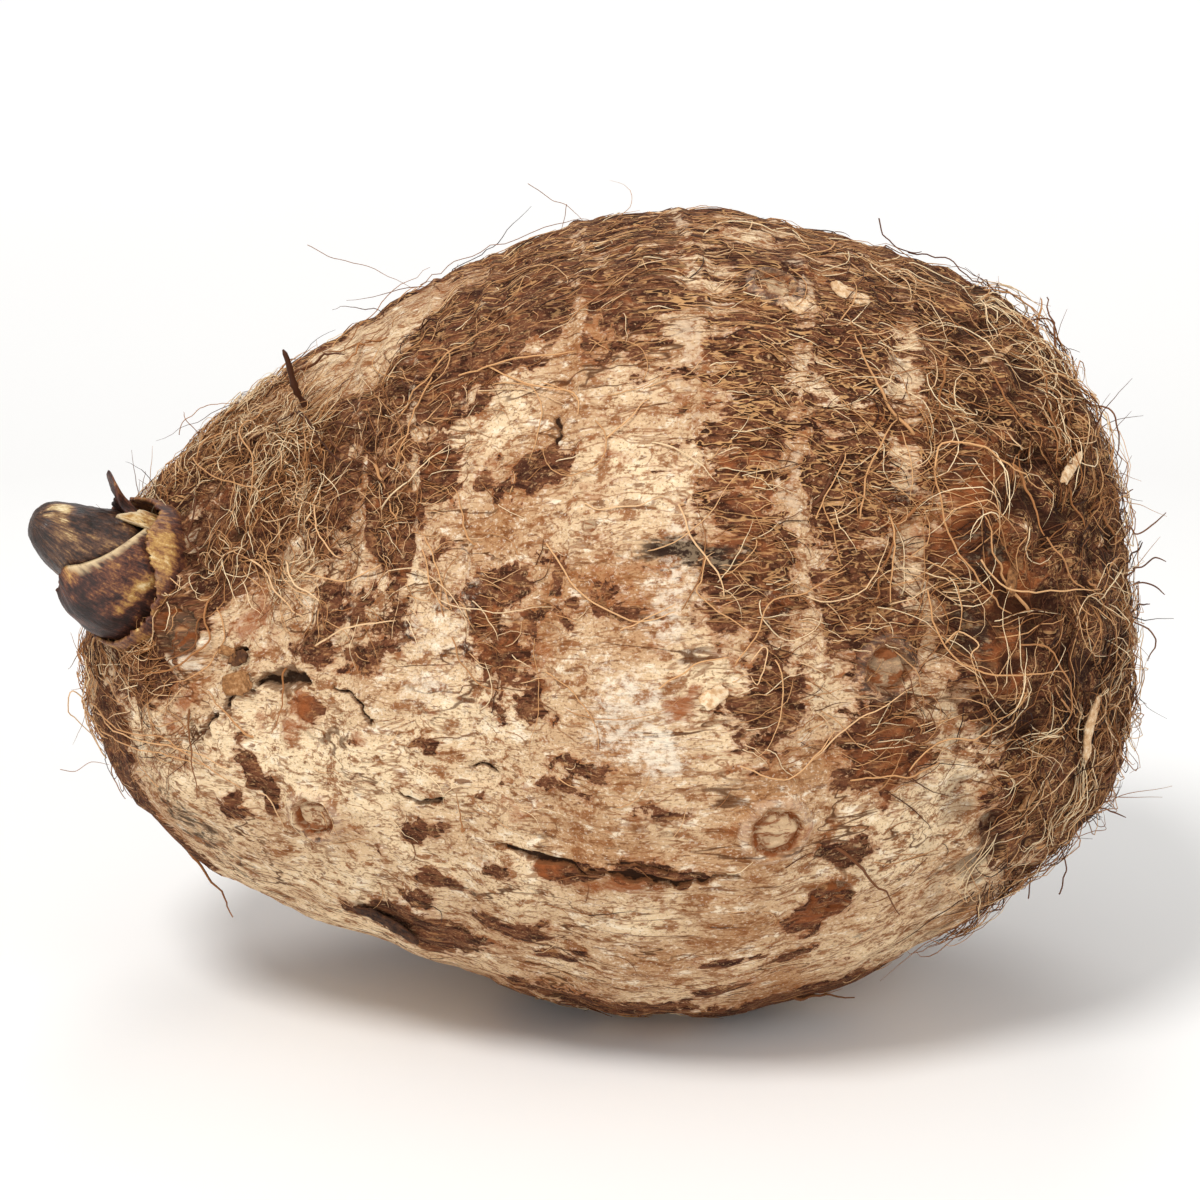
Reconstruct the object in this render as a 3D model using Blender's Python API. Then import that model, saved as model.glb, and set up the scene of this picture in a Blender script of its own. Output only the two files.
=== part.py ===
# A taro root: the swollen corm of a taro plant, lying on its side.
#
# The shoot end points left, up and to the front, and the root end is on the right. The corm grew as one
# piece, with raised leaf-scar rings round it, lateral buds, shrinkage cracks and rootlets. The cut shoot and
# the dried leaf bases round it are pieces of their own, seated in a shallow socket in the corm's shoot end.
#
# Lengths are in millimetres until MM turns them into metres. Places on the corm are given as a ring number,
# counted from the shoot, and an angle round the corm: 0 faces the front, 90 the top, 180 the back.

import bisect
import math
import random

import bmesh
import bpy
from mathutils import Vector, noise

MM = 0.001
ROOT_NAME = "taro_root"

# The corm's outline seen from the front: x from its shoot end, z above the lowest skin. It runs from the
# leftmost point over the top to the rightmost point, and back along the underside.
OUTLINE_TOP = [
    (0.0, 45.5), (1.2, 54.5), (4.2, 62.5), (8.6, 69.6), (14.2, 75.6), (21.5, 81.8), (29.4, 87.4),
    (37.5, 92.6), (45.7, 97.6), (54.5, 101.6), (66.1, 105.8), (78.3, 108.3), (90.6, 107.8), (102.8, 104.6),
    (114.6, 100.2), (123.6, 96.0), (130.4, 90.2), (135.2, 82.0), (138.7, 72.5), (141.2, 61.5),
]
OUTLINE_BOTTOM = [
    (142.1, 50.3), (141.3, 41.0), (138.6, 32.2), (132.6, 24.2), (123.2, 15.8), (111.4, 8.8), (98.7, 3.9),
    (85.5, 0.8), (72.0, 0.3), (57.9, 3.2), (42.4, 8.4), (28.0, 13.8), (16.4, 19.6), (8.6, 27.0), (2.8, 35.9),
]
CURVE_STEPS = 16

# Its cross-section is a superellipse, a little less deep than it is high. It lies on a flat cut off its
# lowest skin at the underside's level, and the part's origin is there, under the middle of its box.
DEPTH_RATIO = 0.955
ROUNDNESS = 2.12
UNDERSIDE_LEVEL = 1.5
MIDDLE = (69.84, -0.48)

# A ray from inside the corm reaches at most this far, and is halved this often to find the skin
RAY_REACH = 90.0
RAY_HALVINGS = 26

# The leaf-scar rings, from the shoot's base to the root end: the middle of each (x, y, z), and which way
# its plane faces, as degrees of lift and of turn towards the front.
RINGS = [
    (8.6, -17.0, 65.0, 29.0, 39.0),
    (10.4, -15.4, 64.0, 31.0, 37.0),
    (14.6, -13.4, 61.6, 25.0, 31.0),
    (21.6, -10.0, 58.6, 16.0, 20.0),
    (32.6, -5.6, 56.2, 9.5, 9.5),
    (43.5, -2.2, 54.6, 5.5, 4.0),
    (53.0, -0.6, 54.0, 3.5, 1.0),
    (66.8, 0.0, 54.0, 1.6, 0.0),
    (80.8, 0.0, 54.6, 0.7, 0.0),
    (95.4, 0.0, 55.2, -0.6, 0.0),
    (110.0, 0.0, 55.6, -2.4, 0.0),
    (123.2, 0.0, 55.0, -4.0, -1.0),
    (133.6, 0.0, 53.4, -5.0, -2.0),
    (142.1, 0.0, 51.4, -5.0, -2.0),
]
LAST_RING = len(RINGS) - 1

# Relief of the skin: raised rings that waver round the corm, bulging bands between them, low lumps and
# dimples. There is a row of points close on each side of a ring's crest, and two more in the band after it.
SEGMENTS = 52
ROWS_PER_RING = (-0.11, 0.0, 0.11, 0.37, 0.63)
FIRST_ROWS = (0.0, 0.16, 0.42, 0.7)
LAST_ROWS = (11.89, 12.0, 12.11, 12.37, 12.63, 12.82, 12.94, 13.0)
RING_HEIGHT = 0.9
RING_WIDTH = 0.09
RING_WAVE = 0.26
WAVE_REACH = 1.4
WAVE_STEP = 0.45
BAND_BULGE = 0.7
LUMP_HEIGHT = 1.3
LUMP_SIZE = 34.0
DIMPLE_HEIGHT = 0.5
DIMPLE_SIZE = 12.0

# How far apart, in rings and in radians, the places are that give the skin's slope
NEARBY = 0.05

# Swellings: ring, angle, radius and height of each
SWELLINGS = [
    (10.6, 31.0, 6.5, 2.4),
    (10.65, 5.0, 6.0, 2.0),
    (12.2, 60.0, 9.0, 1.6),
    (12.0, -60.0, 8.0, 1.5),
    (12.3, 150.0, 9.0, 1.8),
    (11.2, 205.0, 10.0, 1.8),
    (2.6, -60.0, 11.0, 1.3),
    (3.4, 170.0, 12.0, 1.6),
]

# Lateral buds: ring, angle, radius and rim height of each
BUDS = [
    (8.6, -16.5, 3.4, 1.1),
    (9.5, 5.5, 3.1, 1.2),
    (8.65, 64.0, 2.8, 1.1),
    (4.0, -32.0, 2.9, 1.0),
    (9.1, -31.0, 3.2, 0.9),
    (7.1, 28.0, 2.2, 0.8),
    (1.55, -25.0, 3.6, 1.2),
    (6.5, 140.0, 3.0, 1.1),
    (9.4, 172.0, 3.3, 1.2),
    (4.6, 205.0, 3.0, 1.0),
    (8.3, 228.0, 3.1, 1.0),
    (10.6, 118.0, 2.8, 1.1),
]
BUD_SIDES = 12
BUD_ROOT = 2.4

# Shrinkage cracks: ring and angle of each end, width and depth
CRACKS = [
    (6.8, -22.0, 7.95, -23.0, 2.6, 1.7),
    (2.3, -25.0, 3.9, -4.0, 1.9, 1.3),
    (4.9, -17.0, 5.6, -18.0, 1.3, 1.0),
    (5.6, 150.0, 6.8, 154.0, 2.0, 1.4),
]
CRACK_LIFT = 0.35
CRACK_SWAY = 0.45

# Rootlets: how many, how far they run in rings and in degrees, how far their tips stand off the skin at
# most, and their thickness. Most grow at the root end, the others just past a leaf-scar ring.
ROOTLET_COUNT = 66
ROOT_END_RINGS = (10.3, 12.7)
ROOT_END_SHARE = 0.62
ROOTED_RINGS = (2, 10)
PAST_RING = 0.05
FURTHEST_RING = 12.85
ROOTLET_RINGS = 0.8
ROOTLET_DEGREES = 17.0
ROOTLET_STANDOFF = 4.5
ROOTLET_RADIUS = 0.5
ROOTLET_TAPER = 0.08
ROOTLET_LEAST = 8.0
ROOTLET_SINK = 1.6
ROOTLET_LIFT = 0.45
ROOTLET_POINTS = 6
ROOTLET_CLEARANCE = 2.5
ROOTLET_SEED = 11

# The dark dried root that stands up behind the shoot: ring, angle, length and radius
ROOT_SPIKE = (3.1, 72.0, 9.0, 0.95)
SPIKE_LEAN = 0.25
SPIKE_BEND = 0.12

# The cut shoot and the leaf bases round it, measured along and round an axis that leaves the corm there
SOCKET_DEPTH = 4.5
SOCKET_CUT_LENGTH = 12.0
SOCKET_RADIUS = 9.4
SOCKET_SIDES = 28
GAP = 0.3
SHOOT_FOOT = -SOCKET_DEPTH + GAP
SHOOT_RADII = [
    (SHOOT_FOOT, 5.7), (0.0, 5.8), (3.6, 5.9), (7.0, 5.6), (10.0, 5.0), (13.0, 4.4), (15.6, 4.0),
    (17.2, 3.1), (18.0, 1.6),
]
SHOOT_SIDES = 16
SHOOT_DROOP = 0.6

# Leaf bases: name, inner radius, wall, flare per mm, angles where it starts and ends, and its rim's distance
# along the axis at points spread evenly between those angles
LEAF_BASES = [
    ("leaf_base_lower", 6.2, 0.8, 0.12, -165.0, 62.0, (4.0, 7.5, 9.5, 8.5, 5.5, 2.5)),
    ("leaf_base_torn", 6.2, 0.8, 0.26, 76.0, 182.0, (5.0, 9.2, 4.5, 6.0, 4.0)),
    ("leaf_base_wedge", 7.4, 0.7, 0.12, 24.0, 74.0, (2.0, 5.0, 7.5, 3.5, 2.0)),
    ("leaf_base_collar", 8.45, 0.6, 0.10, -140.0, 170.0, (0.5, 2.2, 1.2, 3.0, 1.4, 2.6, 0.8, 2.4, 1.0)),
]
LEAF_STEP_DEGREES = 9.0
LEAF_ROWS = 4

# Edges sharper than this are shaded as edges
SHARP_ANGLE = math.radians(40.0)

# Finishes: material name, base colour and roughness
SKIN_BROWN = ("corm_skin", (0.42, 0.27, 0.14, 1.0), 0.85)
SHOOT_BROWN = ("dried_shoot", (0.10, 0.06, 0.035, 1.0), 0.4)
LEAF_TAN = ("dried_leaf_base", (0.36, 0.21, 0.09, 1.0), 0.6)


def curve_through(points, closed):
    """Finely spaced points on a smooth curve through the given points."""
    count = len(points)
    result = []
    for i in range(count if closed else count - 1):
        if closed:
            picked = [points[(i + k) % count] for k in (-1, 0, 1, 2)]
        else:
            picked = [points[min(max(i + k, 0), count - 1)] for k in (-1, 0, 1, 2)]
        before, start, end, after = (Vector(point) for point in picked)
        for j in range(CURVE_STEPS):
            t = j / CURVE_STEPS
            bend = 2 * before - 5 * start + 4 * end - after
            twist = 3 * start - before - 3 * end + after
            result.append(start + ((end - before) * t + bend * t ** 2 + twist * t ** 3) / 2)
    result.append(Vector(points[0] if closed else points[-1]))
    return result


OUTLINE = curve_through(OUTLINE_TOP + OUTLINE_BOTTOM, closed=True)
TOP_EDGE = OUTLINE[:len(OUTLINE_TOP) * CURVE_STEPS + 1]
BOTTOM_EDGE = OUTLINE[len(OUTLINE_TOP) * CURVE_STEPS:][::-1]
TOP_X = [point.x for point in TOP_EDGE]
BOTTOM_X = [point.x for point in BOTTOM_EDGE]
RING_CURVE = curve_through(RINGS, closed=False)


def edge_height(edge, positions, x):
    """Height of the top or bottom edge of the outline at x."""
    i = min(max(bisect.bisect_right(positions, x), 1), len(edge) - 1)
    low = edge[i - 1]
    high = edge[i]
    share = (x - low.x) / max(high.x - low.x, 1e-9)
    return low.y + (high.y - low.y) * min(max(share, 0.0), 1.0)


def fullness(point):
    """Below 1 inside the plain corm, 1 on its skin and above 1 outside."""
    if not TOP_X[0] < point.x < TOP_X[-1]:
        return math.inf
    top = edge_height(TOP_EDGE, TOP_X, point.x)
    bottom = edge_height(BOTTOM_EDGE, BOTTOM_X, point.x)
    half = max((top - bottom) / 2, 1e-6)
    up = abs(point.z - (top + bottom) / 2) / half
    side = abs(point.y) / (half * DEPTH_RATIO)
    return up ** ROUNDNESS + side ** ROUNDNESS


def march(start, direction):
    """The point where a ray from inside the plain corm meets its skin."""
    near = 0.0
    far = RAY_REACH
    for _ in range(RAY_HALVINGS):
        middle = (near + far) / 2
        if fullness(start + direction * middle) < 1.0:
            near = middle
        else:
            far = middle
    return start + direction * near


def ring_frame(ring):
    """Middle of a ring, the way its plane faces, and its front and up directions in that plane."""
    position = min(max(ring, 0.0), LAST_RING) * CURVE_STEPS
    i = min(int(position), len(RING_CURVE) - 2)
    x, y, z, lift, turn = RING_CURVE[i].lerp(RING_CURVE[i + 1], position - i)
    lift = math.radians(lift)
    turn = math.radians(turn)
    facing = Vector((-math.cos(lift) * math.cos(turn), -math.cos(lift) * math.sin(turn), math.sin(lift)))
    front = Vector((math.sin(turn), -math.cos(turn), 0.0))
    return Vector((x, y, z)), facing, front, facing.cross(front)


def plain_point(ring, angle):
    """A place on the plain corm, before the relief of its skin."""
    middle, facing, front, up = ring_frame(ring)
    if ring <= 0.0 or ring >= LAST_RING:
        inside = ring_frame(1.0 if ring <= 0.0 else LAST_RING - 1.0)[0]
        return march(inside, (middle - inside).normalized())
    return march(middle, front * math.cos(angle) + up * math.sin(angle))


def wavy(ring, angle):
    """The ring number shifted to and fro round the corm, so that no ring lies quite flat."""
    fade = min(1.0, ring / 2, (LAST_RING - ring) / 2)
    spot = Vector((math.cos(angle) * WAVE_REACH, math.sin(angle) * WAVE_REACH, ring * WAVE_STEP))
    return ring + RING_WAVE * fade * noise.noise(spot)


def skin_height(ring, point):
    """How far the skin stands above the plain corm."""
    nearest = min(max(round(ring), 1), LAST_RING - 1)
    height = RING_HEIGHT * math.exp(-((ring - nearest) / RING_WIDTH) ** 2)
    height += BAND_BULGE * (abs(math.sin(math.pi * ring)) - 1.0)
    height += LUMP_HEIGHT * noise.noise(point / LUMP_SIZE)
    height += DIMPLE_HEIGHT * noise.noise(point / DIMPLE_SIZE)
    for middle, radius, rise in SWELLING_PLACES:
        height += rise * math.exp(-((point - middle).length / radius) ** 2)
    return height


SWELLING_PLACES = [
    (plain_point(ring, math.radians(angle)), radius, rise) for ring, angle, radius, rise in SWELLINGS
]


def skin_frame(ring, angle_degrees):
    """A place on the finished skin, with the way out, the way along the corm and the way round it."""
    angle = math.radians(angle_degrees)
    level = wavy(ring, angle)
    here = plain_point(level, angle)
    along = (plain_point(level + NEARBY, angle) - plain_point(level - NEARBY, angle)).normalized()
    sideways = plain_point(level, angle + NEARBY) - plain_point(level, angle - NEARBY)
    out = along.cross(sideways).normalized()
    return here + out * skin_height(ring, here), out, along, out.cross(along)


def in_place(point):
    """A point in millimetres moved into the part's frame, in metres."""
    return Vector((point.x - MIDDLE[0], point.y - MIDDLE[1], point.z - UNDERSIDE_LEVEL)) * MM


def principled(finish):
    """The material of a finish: its name, its base colour and its roughness."""
    name, colour, roughness = finish
    material = bpy.data.materials.get(name)
    if material is None:
        material = bpy.data.materials.new(name)
        material.use_nodes = True
        shader = material.node_tree.nodes["Principled BSDF"]
        shader.inputs["Base Color"].default_value = colour
        shader.inputs["Roughness"].default_value = roughness
        shader.inputs["Metallic"].default_value = 0.0
        material.diffuse_color = colour
    return material


def add_object(name, mesh, finish):
    """A named object for a mesh, with its material, under the whole root's empty."""
    mesh.materials.append(principled(finish))
    mesh.shade_smooth()
    mesh.set_sharp_from_angle(angle=SHARP_ANGLE)
    piece = bpy.data.objects.new(name, mesh)
    piece.parent = bpy.data.objects[ROOT_NAME]
    bpy.context.scene.collection.objects.link(piece)
    return piece


def mesh_from(bm, name):
    """A mesh with a bmesh's shape, put in place."""
    for vert in bm.verts:
        vert.co = in_place(vert.co)
    bmesh.ops.recalc_face_normals(bm, faces=bm.faces)
    mesh = bpy.data.meshes.new(name)
    bm.to_mesh(mesh)
    bm.free()
    return mesh


def plain_corm():
    """The corm's body, with its rings, bands, lumps and swellings and the flat it lies on."""
    rows = list(FIRST_ROWS)
    for ring in range(1, LAST_RING - 1):
        rows += [ring + step for step in ROWS_PER_RING]
    rows += LAST_ROWS
    bm = bmesh.new()
    bmesh.ops.create_uvsphere(bm, u_segments=SEGMENTS, v_segments=len(rows) - 1, radius=1.0)
    rings = {}
    for vert in bm.verts:
        row = round(math.acos(min(max(vert.co.z, -1.0), 1.0)) / math.pi * (len(rows) - 1))
        angle = math.atan2(vert.co.y, vert.co.x)
        rings[vert] = rows[row]
        vert.co = plain_point(wavy(rows[row], angle), angle)
    bm.normal_update()
    for vert, height in [(vert, skin_height(ring, vert.co)) for vert, ring in rings.items()]:
        vert.co += vert.normal * height
    for vert in bm.verts:
        vert.co.z = max(vert.co.z, UNDERSIDE_LEVEL)
    bmesh.ops.triangulate(bm, faces=bm.faces)
    return bm


def tube(path, radii, sides):
    """A round solid along a path, with a radius at each of its points and flat ends."""
    last = len(path) - 1
    bm = bmesh.new()
    bmesh.ops.create_cone(bm, cap_ends=True, segments=sides, radius1=1.0, radius2=1.0, depth=last)
    bmesh.ops.translate(bm, vec=(0.0, 0.0, last / 2), verts=bm.verts)
    for i in range(1, last):
        everything = bm.verts[:] + bm.edges[:] + bm.faces[:]
        bmesh.ops.bisect_plane(bm, geom=everything, dist=1e-5, plane_co=(0, 0, i), plane_no=(0, 0, 1))
    frames = []
    side = (path[1] - path[0]).orthogonal()
    for i, point in enumerate(path):
        run = (path[min(i + 1, last)] - path[max(i - 1, 0)]).normalized()
        side = (side - run * side.dot(run)).normalized()
        frames.append((point, side * radii[i], run.cross(side) * radii[i]))
    for vert in bm.verts:
        point, first, second = frames[round(vert.co.z)]
        vert.co = point + first * vert.co.x + second * vert.co.y
    return bm


def turned(profile, sides, frame):
    """A solid turned round a frame's way out, from (radius, height) rows that start and end on its axis."""
    place, out, along, around = frame
    bm = bmesh.new()
    verts = [bm.verts.new((radius, 0.0, height)) for radius, height in profile]
    edges = [bm.edges.new(pair) for pair in zip(verts, verts[1:])]
    bmesh.ops.spin(bm, geom=verts + edges, cent=(0, 0, 0), axis=(0, 0, 1), angle=math.tau, steps=sides,
                   use_merge=True)
    bmesh.ops.remove_doubles(bm, verts=bm.verts, dist=0.001)
    for vert in bm.verts:
        vert.co = place + along * vert.co.x + around * vert.co.y + out * vert.co.z
    return bm


def bud(ring, angle, radius, rim):
    """A lateral bud: a raised rim round a shallow pit with a small tip in it."""
    profile = [
        (0.0, rim * 0.62),
        (radius * 0.42, rim * 0.14),
        (radius * 0.72, rim * 0.92),
        (radius * 0.95, rim),
        (radius * 1.38, -0.2 * BUD_ROOT),
        (radius * 0.8, -0.9 * BUD_ROOT),
        (0.0, -BUD_ROOT),
    ]
    return turned(profile, BUD_SIDES, skin_frame(ring, angle))


def crack_cutter(first_ring, first_angle, last_ring, last_angle, width, depth):
    """A wavy lens to cut a shrinkage crack with, pointed at both ends."""
    start = skin_frame(first_ring, first_angle)[0]
    end = skin_frame(last_ring, last_angle)[0]
    middle, out, _, _ = skin_frame((first_ring + last_ring) / 2, (first_angle + last_angle) / 2)
    lengthwise = (end - start).normalized()
    across = out.cross(lengthwise).normalized()
    upright = lengthwise.cross(across)
    reach = (end - start).length / 2
    bm = bmesh.new()
    bmesh.ops.create_uvsphere(bm, u_segments=8, v_segments=8, radius=1.0)
    for vert in bm.verts:
        x, y, z = vert.co
        sway = width * (x / 2 + CRACK_SWAY * math.sin(z * 4.0))
        vert.co = middle + lengthwise * z * reach + across * sway + upright * (y + CRACK_LIFT) * depth
    return bm


def rootlet_paths():
    """The centre line of each rootlet: it leaves the skin, runs along it and lifts off towards its tip."""
    draw = random.Random(ROOTLET_SEED)
    paths = []
    while len(paths) < ROOTLET_COUNT:
        at_root_end = draw.random() < ROOT_END_SHARE
        ring = draw.uniform(*ROOT_END_RINGS) if at_root_end else draw.randint(*ROOTED_RINGS) + PAST_RING
        angle = draw.uniform(-180.0, 180.0)
        rings = draw.uniform(-1.0, 1.0) * ROOTLET_RINGS
        degrees = draw.uniform(-1.0, 1.0) * ROOTLET_DEGREES
        standoff = ROOTLET_STANDOFF * draw.random() ** 2
        path = []
        for i in range(ROOTLET_POINTS):
            t = i / (ROOTLET_POINTS - 1)
            place, out, _, _ = skin_frame(min(ring + rings * t, FURTHEST_RING), angle + degrees * t ** 1.5)
            lift = ROOTLET_LIFT + standoff * t ** 2
            path.append(place + out * (lift if i else -ROOTLET_SINK))
        long_enough = (path[-1] - path[0]).length > ROOTLET_LEAST
        if long_enough and min(point.z for point in path) > UNDERSIDE_LEVEL + ROOTLET_CLEARANCE:
            paths.append(path)
    return paths


def rootlet(path):
    """A tapered three-sided rootlet."""
    return tube(path, [ROOTLET_RADIUS * (1.0 - ROOTLET_TAPER * i) for i in range(len(path))], sides=3)


def root_spike():
    """The dried root that stands up behind the shoot."""
    ring, angle, length, radius = ROOT_SPIKE
    place, out, along, _ = skin_frame(ring, angle)
    lean = (out + along * SPIKE_LEAN).normalized()
    bend = along * length * SPIKE_BEND
    path = [place + lean * length * t - bend * math.sin(t * 5) for t in (-0.2, 0.3, 0.65, 1.0)]
    return tube(path, [radius * 1.2, radius, radius * 0.7, radius * 0.35], sides=5)


def shoot_frame():
    """Where the shoot leaves the corm, with its axis and its front and up directions."""
    _, facing, front, up = ring_frame(0.0)
    return plain_point(0.0, 0.0), facing, front, up


def shoot_solid():
    """The cut shoot: a blunt horn that droops a little."""
    base, facing, _, up = shoot_frame()
    length = SHOOT_RADII[-1][0]
    path = []
    for along, _ in SHOOT_RADII:
        droop = SHOOT_DROOP * max(along / length, 0.0) ** 2
        path.append(base + facing * along - up * droop)
    return tube(path, [radius for _, radius in SHOOT_RADII], SHOOT_SIDES)


def leaf_base(inner, wall, flare, first_angle, last_angle, rim):
    """A dried leaf base: part of a flaring cup round the shoot, with a torn rim."""
    base, facing, front, up = shoot_frame()
    steps = round((last_angle - first_angle) / LEAF_STEP_DEGREES)
    bm = bmesh.new()
    bmesh.ops.create_grid(bm, x_segments=steps, y_segments=LEAF_ROWS, size=0.5)
    outwards = {}
    for vert in bm.verts:
        share = vert.co.x + 0.5
        angle = math.radians(first_angle + (last_angle - first_angle) * share)
        position = share * (len(rim) - 1)
        i = min(int(position), len(rim) - 2)
        top = rim[i] + (rim[i + 1] - rim[i]) * (position - i)
        along = SHOOT_FOOT + (top - SHOOT_FOOT) * (vert.co.y + 0.5)
        away = front * math.cos(angle) + up * math.sin(angle)
        vert.co = base + facing * along + away * (inner + flare * max(along, 0.0))
        outwards[vert] = away * wall
    shell = bmesh.ops.extrude_face_region(bm, geom=bm.faces[:], use_keep_orig=True)["geom"]
    for vert in shell:
        if isinstance(vert, bmesh.types.BMVert):
            nearest = min(outwards, key=lambda other: (other.co - vert.co).length_squared)
            vert.co += outwards[nearest]
    bmesh.ops.triangulate(bm, faces=bm.faces)
    return bm


def fuse(corm, solids, operation):
    """Joins solids to the corm, or cuts them from it, in one Boolean, and leaves only the corm."""
    collection = bpy.data.collections.new("for_corm")
    bpy.context.scene.collection.children.link(collection)
    for i, bm in enumerate(solids):
        mesh = mesh_from(bm, f"for_corm_{i}")
        collection.objects.link(bpy.data.objects.new(mesh.name, mesh))
    boolean = corm.modifiers.new("fuse", "BOOLEAN")
    boolean.operation = operation
    boolean.operand_type = "COLLECTION"
    boolean.collection = collection
    boolean.solver = "EXACT"
    depsgraph = bpy.context.evaluated_depsgraph_get()
    result = bpy.data.meshes.new_from_object(corm.evaluated_get(depsgraph))
    corm.modifiers.clear()
    corm.data = result
    for piece in list(collection.objects):
        bpy.data.objects.remove(piece)
    bpy.data.collections.remove(collection)


def add_corm():
    """The corm with all that grew on it, its cracks and the socket that the shoot sits in."""
    corm = add_object("corm", mesh_from(plain_corm(), "corm"), SKIN_BROWN)
    base, facing, _, _ = shoot_frame()
    socket_ends = [base - facing * SOCKET_DEPTH, base + facing * SOCKET_CUT_LENGTH]
    socket = tube(socket_ends, [SOCKET_RADIUS, SOCKET_RADIUS], SOCKET_SIDES)
    fuse(corm, [socket] + [crack_cutter(*crack) for crack in CRACKS], "DIFFERENCE")
    grown = [bud(*place) for place in BUDS] + [rootlet(path) for path in rootlet_paths()] + [root_spike()]
    fuse(corm, grown, "UNION")


def main():
    for old in list(bpy.data.objects):
        bpy.data.objects.remove(old)
    bpy.context.scene.collection.objects.link(bpy.data.objects.new(ROOT_NAME, None))
    add_corm()
    add_object("shoot", mesh_from(shoot_solid(), "shoot"), SHOOT_BROWN)
    for name, *shape in LEAF_BASES:
        add_object(name, mesh_from(leaf_base(*shape), name), LEAF_TAN)


main()
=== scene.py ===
# Looks of a whole taro root: skin with leaf-scar rings and crust, dried shoot, leaf bases and root hairs.
# Lengths are in mm, from the corm's shoot end. inPlace() turns them into the CAD's frame and metres.
# Places on the corm are (ring, angle): rings count from the shoot, 0 degrees is in front and 90 on top.

import math
import random

import bmesh
import bpy
import numpy as np
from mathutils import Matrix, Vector, noise


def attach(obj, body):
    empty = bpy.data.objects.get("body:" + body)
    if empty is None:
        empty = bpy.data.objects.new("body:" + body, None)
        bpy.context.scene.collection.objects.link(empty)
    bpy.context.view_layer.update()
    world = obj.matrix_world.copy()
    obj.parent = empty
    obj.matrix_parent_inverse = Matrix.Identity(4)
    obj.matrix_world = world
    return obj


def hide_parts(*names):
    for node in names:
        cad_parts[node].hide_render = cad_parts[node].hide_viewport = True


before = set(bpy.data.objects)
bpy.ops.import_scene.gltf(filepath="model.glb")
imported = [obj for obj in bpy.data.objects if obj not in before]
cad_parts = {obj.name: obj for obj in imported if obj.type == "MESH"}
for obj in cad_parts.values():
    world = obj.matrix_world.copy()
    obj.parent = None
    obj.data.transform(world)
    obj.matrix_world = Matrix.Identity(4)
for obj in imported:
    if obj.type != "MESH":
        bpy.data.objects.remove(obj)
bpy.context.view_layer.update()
mm = 0.001


# Small tools

# sRGB hex to linear colour
def linear(hexColour):
    channels = [int(hexColour[i:i + 2], 16) / 255 for i in (1, 3, 5)]
    return [c / 12.92 if c <= 0.04045 else ((c + 0.055) / 1.055) ** 2.4 for c in channels] + [1.0]


def unit(vectors):
    return vectors / np.maximum(np.linalg.norm(vectors, axis=-1, keepdims=True), 1e-12)


def smoothStep(low, high, value):
    t = np.clip((value - low) / (high - low), 0.0, 1.0)
    return t * t * (3.0 - 2.0 * t)


def noiseOf(points, size, octaves=1, seed=0.0):
    places = (points / size + seed).tolist()
    if octaves == 1:
        return np.array([noise.noise(place) for place in places])
    return np.array([noise.fractal(place, 1.0, 2.0, octaves) for place in places])


# Adds a shader node. Values go to its enabled inputs in order, named ones to a setting or to the input of
# that name, and a node given as a value is linked from its first enabled output.
def add(tree, kind, *values, **named):
    node = tree.nodes.new("ShaderNode" + kind)
    for name in [name for name in named if hasattr(node, name)]:
        setattr(node, name, named.pop(name))
    given = list(zip([socket for socket in node.inputs if socket.enabled], values))
    given += [(node.inputs[name.replace("_", " ")], value) for name, value in named.items()]
    for socket, value in given:
        if isinstance(value, bpy.types.Node):
            value = next(output for output in value.outputs if output.enabled)
        if isinstance(value, bpy.types.NodeSocket):
            tree.links.new(value, socket)
        else:
            socket.default_value = value
    return node


def newMaterial(name, **constants):
    material = bpy.data.materials.new(name)
    material.use_nodes = True
    shader = material.node_tree.nodes["Principled BSDF"]
    for socket, value in constants.items():
        shader.inputs[socket.replace("_", " ")].default_value = value
    return material, material.node_tree, shader


# Noise patterns from rows of (stretch along the corm, size in mm, detail, roughness, distortion)
def addPatterns(tree, coordinates, rows):
    patterns = {}
    for i, (name, (stretch, size, detail, roughness, distortion)) in enumerate(rows.items()):
        apart = (i * 7.3, i * 3.1, i * 5.7)  # so that no two patterns look alike
        scale = (1.0 / (size * stretch), 1.0 / size, 1.0 / size)
        placed = add(tree, "Mapping", coordinates, Location=apart, Scale=scale)
        patterns[name] = add(tree, "TexNoise", placed, Scale=1.0, Detail=detail, Roughness=roughness,
                             Distortion=distortion)
    return patterns


# Lays colours over each other where a pattern goes from one value to another: rows of (pattern, from, to,
# strength, colour)
def layColours(tree, colour, patterns, rows):
    for name, low, high, strength, hexColour in rows:
        mask = add(tree, "MapRange", patterns[name], low, high, 0.0, strength,
                   interpolation_type="SMOOTHSTEP")
        colour = add(tree, "Mix", mask, colour, linear(hexColour), data_type="RGBA")
    return colour


# Puts a colour and a bump from a pattern's height, so many mm deep, on the shader
def finishMaterial(tree, shader, colour, height, strength, depth):
    bump = add(tree, "Bump", Height=height, Strength=strength, Distance=depth * mm)
    tree.links.new(colour, shader.inputs["Base Color"])
    tree.links.new(bump.outputs[0], shader.inputs["Normal"])


def meshFrom(bm, name):
    mesh = bpy.data.meshes.new(name)
    bm.to_mesh(mesh)
    bm.free()
    return mesh


def addAttribute(mesh, name, values):
    vector = values.ndim == 2
    layer = mesh.attributes.new(name, "FLOAT_VECTOR" if vector else "FLOAT", "POINT")
    layer.data.foreach_set("vector" if vector else "value", values.astype(np.float32).ravel())


def addToScene(name, data):
    thing = bpy.data.objects.new(name, data)
    bpy.context.scene.collection.objects.link(thing)
    return thing


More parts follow.
